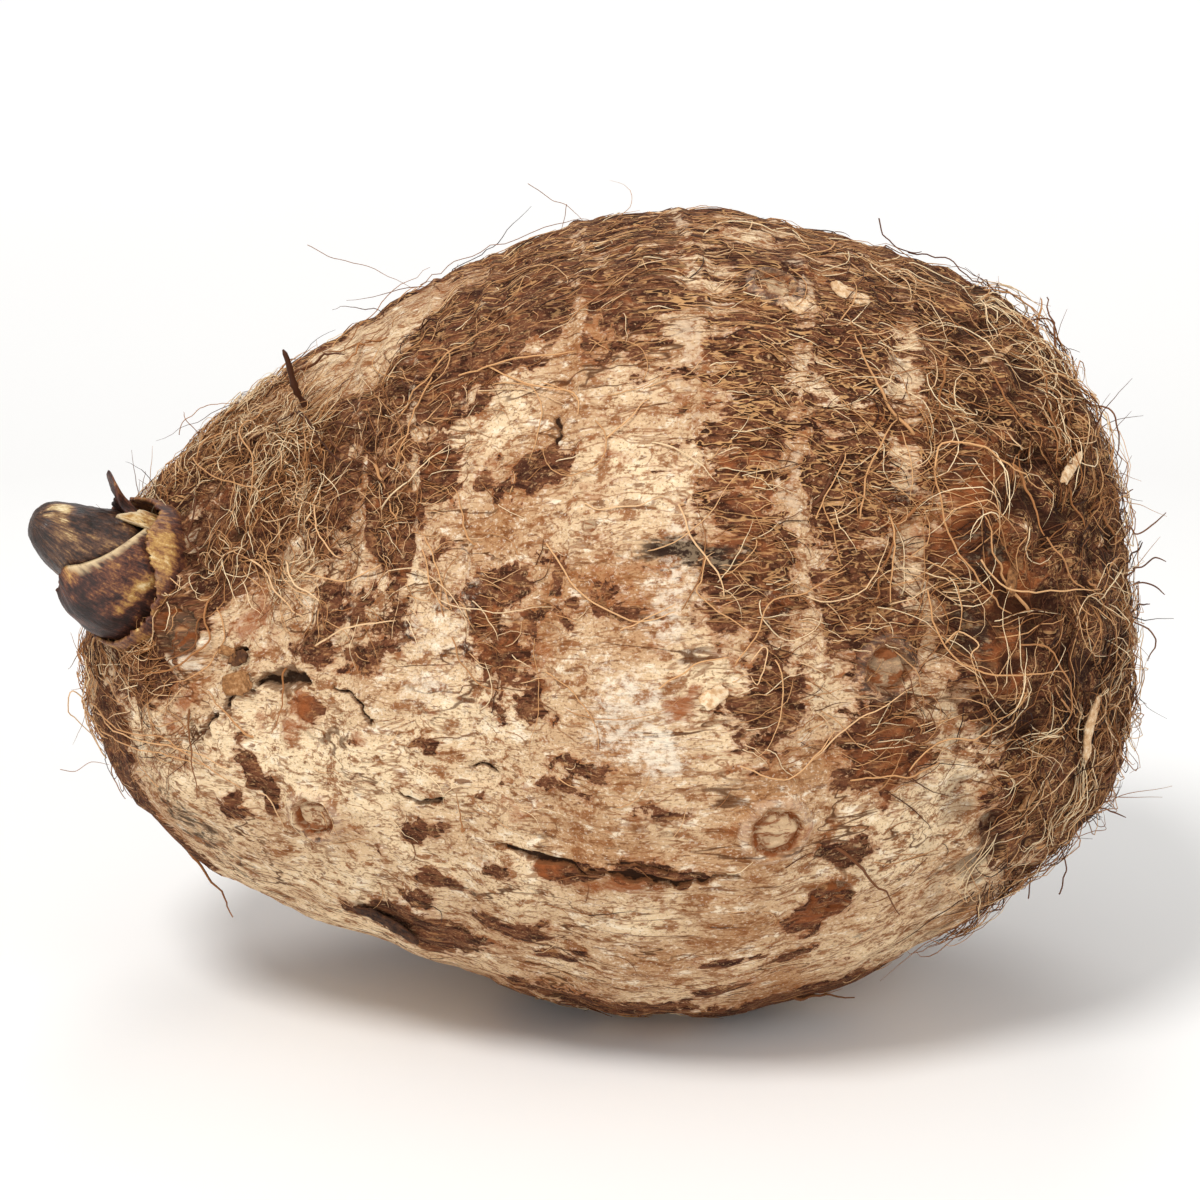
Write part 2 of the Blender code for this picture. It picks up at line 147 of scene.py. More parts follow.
def addPiece(name, mesh, material, slot, *nodes):
    piece = addToScene(name, mesh)
    mesh.materials.clear()
    mesh.materials.append(material)
    mesh.shade_smooth()
    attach(piece, "root")
    if nodes:
        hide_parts(*nodes)
    return piece


# The corm's form, the same as in the CAD

cormForm = {
    "top": [
        (0.0, 45.5), (1.2, 54.5), (4.2, 62.5), (8.6, 69.6), (14.2, 75.6), (21.5, 81.8), (29.4, 87.4),
        (37.5, 92.6), (45.7, 97.6), (54.5, 101.6), (66.1, 105.8), (78.3, 108.3), (90.6, 107.8),
        (102.8, 104.6), (114.6, 100.2), (123.6, 96.0), (130.4, 90.2), (135.2, 82.0), (138.7, 72.5),
        (141.2, 61.5),
    ],
    "bottom": [
        (142.1, 50.3), (141.3, 41.0), (138.6, 32.2), (132.6, 24.2), (123.2, 15.8), (111.4, 8.8),
        (98.7, 3.9), (85.5, 0.8), (72.0, 0.3), (57.9, 3.2), (42.4, 8.4), (28.0, 13.8), (16.4, 19.6),
        (8.6, 27.0), (2.8, 35.9),
    ],
    "rings": [  # middle x, y, z, then lift and turn of the ring's plane in degrees
        (8.6, -17.0, 65.0, 29.0, 39.0), (10.4, -15.4, 64.0, 31.0, 37.0), (14.6, -13.4, 61.6, 25.0, 31.0),
        (21.6, -10.0, 58.6, 16.0, 20.0), (32.6, -5.6, 56.2, 9.5, 9.5), (43.5, -2.2, 54.6, 5.5, 4.0),
        (53.0, -0.6, 54.0, 3.5, 1.0), (66.8, 0.0, 54.0, 1.6, 0.0), (80.8, 0.0, 54.6, 0.7, 0.0),
        (95.4, 0.0, 55.2, -0.6, 0.0), (110.0, 0.0, 55.6, -2.4, 0.0), (123.2, 0.0, 55.0, -4.0, -1.0),
        (133.6, 0.0, 53.4, -5.0, -2.0), (142.1, 0.0, 51.4, -5.0, -2.0),
    ],
    "curveSteps": 16,
    "depthRatio": 0.955,
    "roundness": 2.12,
    "underside": 1.5,
    "middle": (69.84, -0.48),
    "rayReach": 90.0,
    "rayHalvings": 24,
    "slopeStep": 0.02,  # rings, and radians, between the points that give the skin's slope
    "pole": 0.004,  # within this many rings of an end the skin faces along the ring's axis
    "ringWave": (0.26, 1.4, 0.45),  # rings, then the wave's reach round the corm and along it
    "ringRidge": (0.9, 0.09),  # height in mm and width in rings
    "bandBulge": 0.7,
    "lump": (1.3, 34.0),  # height and size
    "dimple": (0.5, 12.0),
    "swellings": [  # ring, angle, radius, height
        (10.6, 31.0, 6.5, 2.4), (10.65, 5.0, 6.0, 2.0), (12.2, 60.0, 9.0, 1.6), (12.0, -60.0, 8.0, 1.5),
        (12.3, 150.0, 9.0, 1.8), (11.2, 205.0, 10.0, 1.8), (2.6, -60.0, 11.0, 1.3), (3.4, 170.0, 12.0, 1.6),
    ],
}


def smoothCurve(points, closed):
    given = np.array(points, float)
    count = len(given)
    result = []
    for i in range(count if closed else count - 1):
        picked = [(i + k) % count if closed else min(max(i + k, 0), count - 1) for k in (-1, 0, 1, 2)]
        before, start, end, after = given[picked]
        for j in range(cormForm["curveSteps"]):
            t = j / cormForm["curveSteps"]
            bend = 2 * before - 5 * start + 4 * end - after
            twist = 3 * start - before - 3 * end + after
            result.append(start + ((end - before) * t + bend * t ** 2 + twist * t ** 3) / 2)
    result.append(given[0 if closed else -1])
    return np.array(result)


outline = smoothCurve(cormForm["top"] + cormForm["bottom"], closed=True)
turnPoint = len(cormForm["top"]) * cormForm["curveSteps"]
topEdge = outline[:turnPoint + 1]
bottomEdge = outline[turnPoint:][::-1]
ringCurve = smoothCurve(cormForm["rings"], closed=False)
lastRing = len(cormForm["rings"]) - 1


def inPlace(points):
    x, y = cormForm["middle"]
    return (np.asarray(points, float) - (x, y, cormForm["underside"])) * mm


def insideCorm(points):
    top = np.interp(points[:, 0], topEdge[:, 0], topEdge[:, 1])
    bottom = np.interp(points[:, 0], bottomEdge[:, 0], bottomEdge[:, 1])
    half = np.maximum((top - bottom) / 2, 1e-6)
    up = np.abs(points[:, 2] - (top + bottom) / 2) / half
    side = np.abs(points[:, 1]) / (half * cormForm["depthRatio"])
    within = (points[:, 0] > topEdge[0, 0]) & (points[:, 0] < topEdge[-1, 0])
    return within & (up ** cormForm["roundness"] + side ** cormForm["roundness"] < 1.0)


def ringFrames(ring):
    position = np.clip(ring, 0.0, lastRing) * cormForm["curveSteps"]
    steps = np.arange(len(ringCurve))
    x, y, z, lift, turn = (np.interp(position, steps, column) for column in ringCurve.T)
    lift, turn = np.radians(lift), np.radians(turn)
    facing = np.stack([-np.cos(lift) * np.cos(turn), -np.cos(lift) * np.sin(turn), np.sin(lift)], axis=1)
    front = np.stack([np.sin(turn), -np.cos(turn), np.zeros(len(turn))], axis=1)
    return np.stack([x, y, z], axis=1), facing, front, np.cross(facing, front)


# Places on the plain body's skin, found by halving rays from each ring's middle (angle in radians)
def plainPoints(ring, angle):
    middle, _, front, up = ringFrames(ring)
    direction = front * np.cos(angle)[:, None] + up * np.sin(angle)[:, None]
    atEnd = (ring <= 0.0) | (ring >= lastRing)
    inner = ringFrames(np.where(ring <= 0.0, 1.0, lastRing - 1.0))[0]
    start = np.where(atEnd[:, None], inner, middle)
    direction = np.where(atEnd[:, None], unit(middle - inner), direction)
    near = np.zeros(len(ring))
    far = np.full(len(ring), cormForm["rayReach"])
    for _ in range(cormForm["rayHalvings"]):
        half = (near + far) / 2
        inside = insideCorm(start + direction * half[:, None])
        near = np.where(inside, half, near)
        far = np.where(inside, far, half)
    return start + direction * near[:, None]


def wavyRings(ring, angle):
    amount, reach, step = cormForm["ringWave"]
    fade = np.clip(np.minimum(ring / 2, (lastRing - ring) / 2), 0.0, 1.0)
    spots = np.stack([np.cos(angle) * reach, np.sin(angle) * reach, ring * step], axis=1)
    return ring + amount * fade * noiseOf(spots, 1.0)


# The plain body at wavy rings: places, ways out, ways along and ways round
def plainSkin(ring, angle):
    level = wavyRings(ring, angle)
    step, pole = cormForm["slopeStep"], cormForm["pole"]
    places = plainPoints(level, angle)
    ahead = plainPoints(np.minimum(level + step, lastRing - pole / 4), angle)
    behind = plainPoints(np.maximum(level - step, pole / 4), angle)
    along = ahead - behind
    sideways = plainPoints(level, angle + step) - plainPoints(level, angle - step)
    out = np.cross(along, sideways)
    facing = ringFrames(level)[1]
    atPole = ((level < pole) | (level > lastRing - pole))[:, None]
    endways = np.where((level < lastRing / 2)[:, None], facing, -facing)
    out = unit(np.where(atPole, endways, out))
    along = unit(np.where(atPole, ringFrames(level)[3], along))
    return places, out, along, np.cross(out, along)


# The CAD's own relief: rings, bands, lumps, dimples and swellings
def baseHeight(ring, places, lowered=1.0):
    nearest = np.clip(np.round(ring), 1, lastRing - 1)
    ridge, width = cormForm["ringRidge"]
    height = ridge * lowered * np.exp(-((ring - nearest) / width) ** 2)
    height += cormForm["bandBulge"] * (np.abs(np.sin(math.pi * ring)) - 1.0)
    height += cormForm["lump"][0] * noiseOf(places, cormForm["lump"][1])
    height += cormForm["dimple"][0] * noiseOf(places, cormForm["dimple"][1])
    for spotRing, angle, radius, rise in cormForm["swellings"]:
        middle = plainPoints(np.array([spotRing]), np.radians([angle]))
        height += rise * np.exp(-(np.linalg.norm(places - middle, axis=1) / radius) ** 2)
    return height


# Lengths along the corm's front and girth at each ring, to turn mm into rings and degrees
rulerRings = np.linspace(0.0, lastRing, 261)
rulerFront = plainPoints(rulerRings, np.zeros(len(rulerRings)))
rulerLength = np.concatenate([[0.0], np.cumsum(np.linalg.norm(np.diff(rulerFront, axis=0), axis=1))])
rulerGirth = np.linalg.norm(rulerFront - ringFrames(rulerRings)[0], axis=1)


def lengthAt(ring):
    return np.interp(ring, rulerRings, rulerLength)


def girthAt(ring):
    leastGirth = 3.0
    return np.maximum(np.interp(ring, rulerRings, rulerGirth), leastGirth)


# Lateral buds: ring, angle, radius and rim height as in the CAD, then how brown each is
buds = [
    (8.6, -16.5, 3.4, 1.1, 0.12), (9.5, 5.5, 3.1, 1.2, 0.55), (8.65, 64.0, 2.8, 1.1, 0.25),
    (4.0, -32.0, 2.9, 1.0, 0.15), (9.1, -31.0, 3.2, 0.7, 1.0), (7.1, 27.0, 0.9, 0.4, 0.5),
    (1.47, -21.0, 3.4, 1.2, 0.9), (6.5, 140.0, 3.0, 1.1, 0.5), (9.4, 172.0, 3.3, 1.2, 0.7),
    (4.6, 205.0, 3.0, 1.0, 0.3), (8.3, 228.0, 3.1, 1.0, 0.5), (10.6, 118.0, 2.8, 1.1, 0.8),
]
budProfile = ((0.0, 0.15, 0.3, 0.5, 0.68, 0.8, 0.92, 1.05, 1.2, 1.4, 1.7),
              (0.5, 0.45, 0.2, 0.45, 0.3, -0.15, 0.55, 0.9, 0.75, 0.25, 0.0))


# Distance to the nearest bud as a share of its radius, that bud's brownness and the relief of all buds
def budFields(places):
    nearest = np.full(len(places), 4.0)
    brownness = np.zeros(len(places))
    height = np.zeros(len(places))
    wander = 0.12 * noiseOf(places, 1.6, 2, 91.0)
    for ring, angle, radius, rim, brown in buds:
        middle = plainSkin(np.array([ring]), np.radians([angle]))[0]
        share = np.linalg.norm(places - middle, axis=1) / radius + wander
        height += rim * np.interp(share, *budProfile)
        closer = share < nearest
        nearest = np.where(closer, share, nearest)
        brownness = np.where(closer, brown, brownness)
    return nearest, brownness, height


# What shows where on the skin

skinLayout = {
    "noises": {  # size in mm, octaves and shift of what varies the skin
        "farLength": (9.0, 1, 3.1),
        "nearLength": (2.6, 2, 5.7),
        "farTurn": (9.0, 1, 11.3),
        "nearTurn": (2.6, 2, 8.9),
        "rings": (5.0, 2, 21.0),
        "scarGaps": (7.0, 2, 31.0),
        "scarWidth": (4.0, 2, 33.0),
        "breaks": (5.0, 2, 35.0),
        "crackTurn": (3.0, 2, 41.0),
        "crackLength": (2.5, 2, 43.0),
        "plates": (3.0, 3, 51.0),
        "bumps": (4.5, 3, 71.0),
        "mat": (4.5, 3, 81.0),
        "tone": (13.0, 2, 103.0),
        "rust": (8.0, 2, 107.0),
        "grooves": (15.0, 2, 109.0),
    },
    "fades": {  # where a zone begins, is full, is no longer full and ends, in rings or degrees
        "upper": (-10.0, 40.0, 90.0, 110.0),
        "top": (52.0, 78.0, 105.0, 130.0),
        "bare": (-15.0, 15.0, 90.0, 120.0),
        "hidden": (80.0, 100.0),
        "rootEnd": (9.6, 10.8),
        "shootEnd": (2.0, 1.2),
        "streaks": (6.9, 7.9),
        "scar": (-1.3, -1.0),
        "scarEdge": (0.01, -0.015),
        # ledgeShade: a thin painted shadow line just past each ring
        "ledgeShade": (-0.01, 0.01, 0.03, 0.07),
        "afterRing": (0.0, 0.12, 0.3, 0.75),
        "breaksRound": (-12.0, 2.0, 48.0, 62.0),
        "breaksAlong": (2.4, 3.2, 6.6, 7.4),
        "moreBreaks": (4.8, 5.8),
        "lowerLeft": (6.6, 5.0),
    },
    "front": -5.0,  # the angle in the middle of the photo
    "shootTurn": 15.0,  # degrees more that it shows before ring 3, because the corm turns there
    "warp": (2.4, 1.0),  # mm that the outlines of patches wander: in long bends, then in short ones
    "leastCrust": 0.12,
    "crustIn": {  # crust that each zone adds
        "upper": 0.1,
        "streaky": 0.16,
        "top": 0.24,
        "hidden": 0.14,
        "rootEnd": 0.4,
        "shootEnd": 0.35,
    },
    "ringCrust": (0.45, 0.16),  # crust that a pale strip takes away, and that a ledge adds as a painted shadow line
    # Brown crust: ring, angle, half length along, half width round, strength
    "crust": [
        (1.6, 55, 13, 24, 0.85), (3.45, 50, 8, 15, 0.95), (4.5, 38, 7, 17, 0.8), (4.45, 10, 7, 5, 0.8),
        (3.6, 14, 5, 5, 0.95), (5.4, 64, 11, 15, 1.1), (5.5, 40, 6, 6, 0.85), (5.5, 24, 6, 5, 0.5),
        (6.5, 70, 10, 12, 1.0), (6.35, 14, 9, 8, 1.0), (6.5, 5, 6, 5, 0.9), (6.68, 36, 5, 3.5, 1.15),
        (6.2, 36, 3, 4, 0.9), (6.35, 54, 5, 4, 0.9), (7.5, 62, 8, 11, 0.75), (7.4, 80, 9, 9, 0.8),
        (7.45, 18, 6, 4, 0.55), (8.52, 47, 7.5, 25, 0.9), (8.5, 20, 7, 12, 0.75), (8.6, 72, 8, 9, 1.0),
        (8.55, 2, 6, 8, 0.65), (9.5, 60, 8, 12, 1.1), (9.5, 35, 8, 12, 0.85), (9.5, 14, 8, 10, 0.8),
        (9.5, -5, 8, 8, 0.8), (10.6, 55, 9, 24, 1.1), (10.6, 18, 8, 20, 0.95), (11.8, 40, 12, 30, 1.2),
        (11.6, -5, 12, 22, 1.15), (11.3, -28, 10, 12, 1.15), (11.9, -45, 10, 14, 0.9),
        (12.4, 90, 14, 40, 1.0), (7.25, -7, 6, 2.2, 0.95), (6.9, -11, 4, 1.5, 0.8),
        (7.75, -13, 4, 2.0, 0.6), (7.5, -2, 5, 1.5, 0.5), (3.5, 3, 4, 2.0, 0.9), (3.6, -10, 2.6, 2.4, 1.0),
        (4.42, -10, 2.4, 0.9, 0.7), (4.6, -17, 3.2, 1.3, 0.75), (4.5, -24, 1.6, 1.8, 0.8),
        (5.52, -6, 2.4, 0.9, 1.0), (6.2, -13, 1.0, 1.0, 1.0), (6.36, -11, 1.0, 0.9, 1.0),
        (5.52, -23, 3.2, 2.4, 0.85), (5.8, -21, 2.0, 0.9, 0.8), (2.88, -33, 2.6, 2.6, 1.1),
        (2.9, -45, 2.8, 3.0, 1.0), (3.4, -34, 1.5, 4.4, 1.0), (4.05, -35, 1.6, 1.6, 0.8),
        (2.05, -1, 1.8, 3.6, 0.7), (2.55, -5, 3.0, 1.8, 0.55), (5.5, -39, 2.6, 1.8, 0.85),
        (5.75, -32, 4.0, 1.5, 0.8), (4.75, -31, 3.0, 1.3, 0.7), (6.6, -38, 6, 2.2, 0.85),
        (6.95, -43, 5, 1.6, 0.85), (6.3, -26, 4, 1.2, 0.6), (7.2, -35, 3.4, 1.0, 0.75),
        (7.2, -41, 3.4, 1.0, 0.75), (6.98, -22, 4.5, 1.3, 1.1), (7.22, -22.5, 3.0, 1.6, 1.1),
        (7.66, -23, 5.0, 1.7, 1.1), (8.0, -23.5, 3.5, 1.1, 1.0), (1.45, -58, 5.0, 7.0, 0.9),
        (1.4, -48, 1.6, 4.0, 1.2), (9.05, -34, 3.4, 4.8, 1.0), (9.2, -22, 4.6, 3.0, 0.7),
        (8.35, -40, 4.4, 1.1, 0.95), (8.85, -43, 4.6, 1.2, 0.9), (8.5, -51, 3.8, 2.6, 0.8),
        (9.45, -50, 3.0, 3.0, 0.7), (9.9, -38, 2.2, 2.2, 0.7), (9.9, -33, 2.4, 1.4, 0.7),
        (5.05, -52, 8, 5, 1.0), (5.8, -47, 6, 4, 0.95), (7.4, -58, 14, 5, 0.9), (8.6, -61, 6, 4, 0.9),
        (1.4, -35, 7, 16, 1.0), (1.3, 5, 6, 16, 0.9),
    ],
    # Clean cream skin, which takes crust away
    "cream": [
        (2.5, 6, 5, 5, 0.9), (2.2, -33, 4, 5, 0.7), (4.0, -20, 14, 9, 0.35), (5.6, -12, 14, 10, 0.35),
        (7.5, 33, 8, 9, 0.25), (6.55, 46, 5, 4, 0.8), (7.6, -2, 6, 7, 0.5), (7.3, 8, 5, 4, 0.4),
        (4.0, 82, 13, 8, 1.0), (7.6, -33, 8, 8, 0.6), (5.6, 12, 3, 4, 0.5), (9.8, 52, 2, 3, 0.7),
        (8.5, 78, 3.4, 2.4, 0.8), (10.1, -34, 4, 8, 0.6), (9.8, -52, 12, 9, 0.45), (3.6, -58, 12, 9, 0.6),
        (8.5, -30, 7, 5, 0.3), (2.6, 22, 4, 3.5, 0.5), (2.7, 40, 3, 3, 0.4), (1.62, -36, 1.5, 1.2, 0.9),
        (1.85, -28, 1.3, 1.5, 0.9), (1.85, -17, 1.2, 1.6, 0.9), (2.3, -43, 2.4, 4.4, 0.9),
        (2.0, 2, 3.0, 5.0, 0.5),
    ],
    # Orange-brown stains
    "orange": [
        (7.95, 2, 2.2, 3.2, 1.1), (2.0, 2, 1.6, 3.0, 1.0), (2.15, -44, 1.5, 5.0, 1.0),
        (3.5, -13, 2.6, 4.0, 1.0), (2.9, -22, 1.0, 1.6, 0.9), (4.45, -9, 2.6, 1.0, 0.9),
        (6.9, -22, 3.4, 1.6, 1.1), (7.5, -25, 5.0, 1.4, 1.0), (8.85, -18, 2.6, 1.0, 0.8),
        (6.4, 10, 8, 9, 0.6), (8.5, 28, 6, 14, 0.6), (9.6, -8, 7, 8, 0.7), (5.45, -14, 5, 1.0, 0.6),
        (9.05, -36, 3.0, 4.0, 0.8), (10.7, 6, 6, 6, 0.9), (7.4, 34, 8, 9, 0.5), (7.3, 20, 5, 6, 0.5),
        (5.6, 40, 5, 8, 0.5), (10.5, 30, 7, 9, 1.0), (10.9, 18, 5, 6, 0.9),
    ],
    # Dark grey dirt and mould, and at ring 2.75 and -68 degrees a painted shadow spot
    "grey": [
        (8.02, 23, 9.5, 2.8, 1.3), (8.2, 6, 4, 1.6, 0.8), (8.2, 1, 3, 1.2, 0.9), (8.0, 80, 6, 3, 0.8),
        (10.6, 24, 6, 4, 1.1), (10.4, 12, 4, 5, 1.1), (10.5, -2, 5, 4, 1.0), (10.4, 38, 4, 3, 1.0),
        (9.1, -22, 5, 3.2, 0.9), (6.6, -27, 5, 1.2, 0.8), (7.6, -18, 6, 1.2, 0.8), (8.3, -18, 5, 1.5, 0.7),
        (7.7, 12, 4, 1.5, 0.6), (4.9, -47, 4, 3, 0.9), (2.75, -68, 4, 4, 1.0), (6.0, -33, 4, 1.6, 0.9),
        (5.6, -33, 4, 1.6, 0.7), (9.3, -44, 5, 2.0, 0.7),
    ],
    # Whitish powder
    "powder": [
        (7.55, 2, 6, 8, 1.0), (7.75, -4, 3.5, 5, 1.1), (5.5, 12, 6, 6, 0.8), (5.6, 2, 4, 3, 0.9),
        (7.5, 32, 7, 7, 0.35), (7.6, -33, 6, 6, 0.6), (6.2, -1, 5, 4, 0.7), (7.85, 20, 3, 12, 0.9),
        (1.62, -36, 1.6, 1.3, 1.0), (1.85, -28, 1.4, 1.6, 1.0), (1.85, -17, 1.2, 1.6, 1.0),
        (2.4, 4, 4, 4, 0.6), (5.9, 18, 3, 10, 0.7), (8.6, 14, 4, 6, 0.5), (10.1, -36, 3, 6, 0.6),
    ],
    # Pale strips along the rings: strength of each from ring 0 on
    "scars": (0.0, 0.3, 0.5, 0.7, 0.7, 0.75, 0.8, 0.8, 1.0, 0.9, 0.7, 0.3, 0.0, 0.0),
    # Shrinkage cracks: (ring, angle) points, half width and depth
    "cracks": [
        ([(2.28, -47), (2.42, -37), (2.5, -26), (2.48, -20), (2.62, -16), (2.8, -14)], 0.45, 1.1),
        ([(2.75, -13), (2.9, -9), (3.14, -6), (3.34, -3), (3.52, -3.5)], 1.7, 1.5),
        ([(2.12, -14), (2.2, -10), (2.3, -6)], 0.9, 1.0),
        ([(1.3, -44), (1.36, -50), (1.42, -55)], 0.7, 0.9),
        ([(3.9, -2), (4.15, -1), (4.5, -3), (4.7, -7)], 0.35, 0.7),
        ([(5.08, -17), (5.3, -17.5), (5.55, -16), (5.8, -15)], 0.5, 1.1),
        ([(6.0, -9), (6.2, -8), (6.45, -8.5)], 0.3, 0.6),
        ([(6.4, -20), (6.7, -21.5), (7.0, -21.7), (7.25, -23.5)], 0.8, 0.6),
        ([(7.2, -22.4), (7.6, -22.5), (7.95, -24.2), (8.3, -23)], 0.8, 0.7),
        ([(7.35, -20.8), (7.7, -21), (8.0, -22.2)], 0.35, 0.5),
        ([(6.72, 45), (6.78, 41), (6.7, 38)], 0.35, 0.6),
    ],
    "hiddenPatches": 90,
    "seed": 5,
}


# Goes from 0 to 1 between a fade's first two values and, if it has four, back to 0 between the last two
def fade(name, value):
    low, high, *down = skinLayout["fades"][name]
    rising = smoothStep(low, high, value)
    return rising * smoothStep(down[1], down[0], value) if down else rising


# Patches like those in front for the other sides
def hiddenPatches():
    draw = random.Random(skinLayout["seed"])
    crust, grey, powder = [], [], []
    for _ in range(skinLayout["hiddenPatches"]):
        ring, angle = draw.uniform(2.0, 12.5), draw.uniform(95.0, 300.0)
        size = draw.uniform(1.5, 9.0)
        kind = draw.random()
        halfLength, halfWidth = size * draw.uniform(0.8, 1.6), size * draw.uniform(0.6, 1.2)
        patch = (ring, angle, halfLength, halfWidth, draw.uniform(0.6, 1.1))
        if kind < 0.7:
            crust.append(patch)
        elif kind < 0.85:
            grey.append(patch)
        else:
            powder.append(patch[:4] + (0.6 * patch[4],))
    return crust, grey, powder


# 1 in the middle of a patch, 0.5 at its edge and 0 half as far again outside
def patchField(patches, length, angle, girth):
    field = np.zeros(len(length))
    for ring, patchAngle, halfLength, halfWidth, strength in patches:
        along = (length - lengthAt(ring)) / halfLength
        turn = (np.degrees(angle) - patchAngle + 180.0) % 360.0 - 180.0
        around = np.radians(turn) * girth / halfWidth
        field = np.maximum(field, strength * np.clip(1.5 - np.hypot(along, around), 0.0, 1.0))
    return field


# Distance to a crack's line as a share of its half width, which tapers to its ends, up to 4
def crackField(points, halfWidth, length, angle, girth):
    best = np.full(len(length), 4.0)
    for i, ((ringA, angleA), (ringB, angleB)) in enumerate(zip(points, points[1:])):
        start = np.array([lengthAt(ringA), angleA])
        end = np.array([lengthAt(ringB), angleB])
        scale = math.radians(1.0) * girthAt((ringA + ringB) / 2)
        along = np.stack([length - start[0], (np.degrees(angle) - start[1]) * scale], axis=1)
        run = np.array([end[0] - start[0], (end[1] - start[1]) * scale])
        share = np.clip(along @ run / (run @ run), 0.0, 1.0)
        distance = np.linalg.norm(along - share[:, None] * run, axis=1)
        position = (i + share) / (len(points) - 1)
        taper = 0.25 + 0.75 * np.sin(math.pi * np.clip(position, 0.0, 1.0))
        best = np.minimum(best, distance / (halfWidth * taper))
    return best


# What the skin's relief and colours need at each point
def skinFields(ring, angle, places):
    look = skinLayout
    vary = {name: noiseOf(places, *row) for name, row in look["noises"].items()}
    girth = girthAt(ring)
    degrees = (np.degrees(angle) + 180.0) % 360.0 - 180.0
    upper, top, bare = (fade(name, degrees) for name in ("upper", "top", "bare"))
    rootEnd, shootEnd = fade("rootEnd", ring), fade("shootEnd", ring)
    hidden = fade("hidden", np.abs(degrees - look["front"]) - look["shootTurn"] * (ring < 3))
    streaky = np.maximum(fade("streaks", ring) * upper, np.maximum(top, 0.7 * hidden))
    zones = {"upper": upper, "streaky": streaky, "top": top, "hidden": hidden, "rootEnd": rootEnd,
             "shootEnd": shootEnd}

    # Patches, whose outlines wander
    farWarp, nearWarp = look["warp"]
    length = lengthAt(ring) + farWarp * vary["farLength"] + nearWarp * vary["nearLength"]
    warped = angle + (farWarp * vary["farTurn"] + nearWarp * vary["nearTurn"]) / girth
    hiddenCrust, hiddenGrey, hiddenPowder = hiddenPatches()
    crust = sum((amount * zones[name] for name, amount in look["crustIn"].items()), look["leastCrust"])
    crust = np.maximum(crust, patchField(look["crust"] + hiddenCrust, length, warped, girth))
    crust -= patchField(look["cream"], length, warped, girth)
    fields = {
        "noises": vary,
        "orange": patchField(look["orange"], length, warped, girth),
        "grey": patchField(look["grey"] + hiddenGrey, length, warped, girth),
        "powder": patchField(look["powder"] + hiddenPowder, length, warped, girth),
    }

    # A pale strip before each leaf-scar ring and, past it, a ledge of crust colour that is a painted shadow
    # line
    wandering = ring + 0.03 * vary["rings"]
    nearest = np.clip(np.round(wandering + 0.12), 0, lastRing).astype(int)
    past = wandering - nearest
    width = 0.05 + 0.22 * np.clip(0.4 + 1.5 * vary["scarWidth"], 0.0, 1.0)
    strip = fade("scar", past / width) * fade("scarEdge", past)
    patchy = np.clip(0.6 + 1.6 * vary["scarGaps"], 0.0, 1.0)
    shown = 0.12 + 0.88 * np.maximum(bare, 0.7 * hidden)
    fields["scar"] = strip * np.array(look["scars"])[nearest] * patchy * shown
    fields["ringed"] = np.maximum(upper, hidden)
    taken, added = look["ringCrust"]
    fields["crust"] = crust - taken * fields["scar"]
    # Painted shadow: a thin line of crust colour just past each ring, under the ring's edge
    fields["crust"] += added * fade("ledgeShade", past) * fields["ringed"] * (1.0 - rootEnd)
    fields["crust"] += added * hidden * fade("afterRing", (wandering + 0.02) % 1.0)

    # Crust that has broken up
    broken = fade("breaksRound", degrees)
    broken *= fade("breaksAlong", ring) * (0.5 + 0.25 * fade("moreBreaks", ring))
    fields["crust"] -= 0.55 * broken * smoothStep(-0.2, 0.2, vary["breaks"])

    # Shrinkage cracks: their depth, and the distance to the nearest as a share of its width
    fields["crack"] = np.zeros(len(ring))
    fields["nearCrack"] = np.full(len(ring), 4.0)
    crackAngle = angle + 0.8 * vary["crackTurn"] / girth
    crackLength = lengthAt(ring) + 0.9 * vary["crackLength"]
    for points, halfWidth, depth in look["cracks"]:
        distance = crackField(points, halfWidth, crackLength, crackAngle, girth)
        fields["crack"] = np.maximum(fields["crack"], depth * smoothStep(1.0, 0.3, distance))
        fields["nearCrack"] = np.minimum(fields["nearCrack"], distance)

    # Broad changes of tone and wear, and painted shade in the hollows of the matted ends
    fields["mat"] = np.maximum(rootEnd, shootEnd)
    # Painted shade: dark colour where the mat's relief is low, at the root end and on the shoot end's upper
    # side
    fields["hollowShade"] = np.maximum(rootEnd, 0.5 * smoothStep(3.0, 2.0, ring) * np.maximum(upper, shootEnd))
    fields["hollowShade"] *= smoothStep(0.02, -0.3, vary["mat"])
    lowerLeft = fade("lowerLeft", ring) * (1.0 - upper) * (1.0 - hidden)
    fields["tone"] = np.clip(0.5 + 0.3 * lowerLeft + 0.8 * vary["tone"], 0.0, 1.0)
    fields["rusty"] = np.clip(0.45 + 0.25 * upper + 0.9 * vary["rust"], 0.0, 1.0)
    fields["busy"] = 1.6 + 1.2 * np.maximum.reduce([streaky, hidden, rootEnd, 0.6 * broken])
    fields["streaky"] = np.maximum(streaky, 0.6 * rootEnd)
    fields["grooved"] = smoothStep(-0.1, 0.3, vary["grooves"]) * (1.0 - 0.6 * fields["mat"])
    fields["bud"], fields["budBrown"], fields["budHeight"] = budFields(places)
    return fields


# Heights of the fine relief in mm
fineRelief = {
    "ridges": (0.35, 0.5),  # how much of the CAD's ridges stays below, and how much more above and behind
    "plates": 0.32,
    "plateEdge": (0.42, 0.6),
    "wrinkles": (0.22, 0.25),  # everywhere, and how much more on the plates
    "wrinkleNoise": (2.6, 2, 61.0),
    "wrinkleStretch": 0.22,
    "bumps": 0.3,
    "scars": 0.35,
    "mat": 0.9,
}


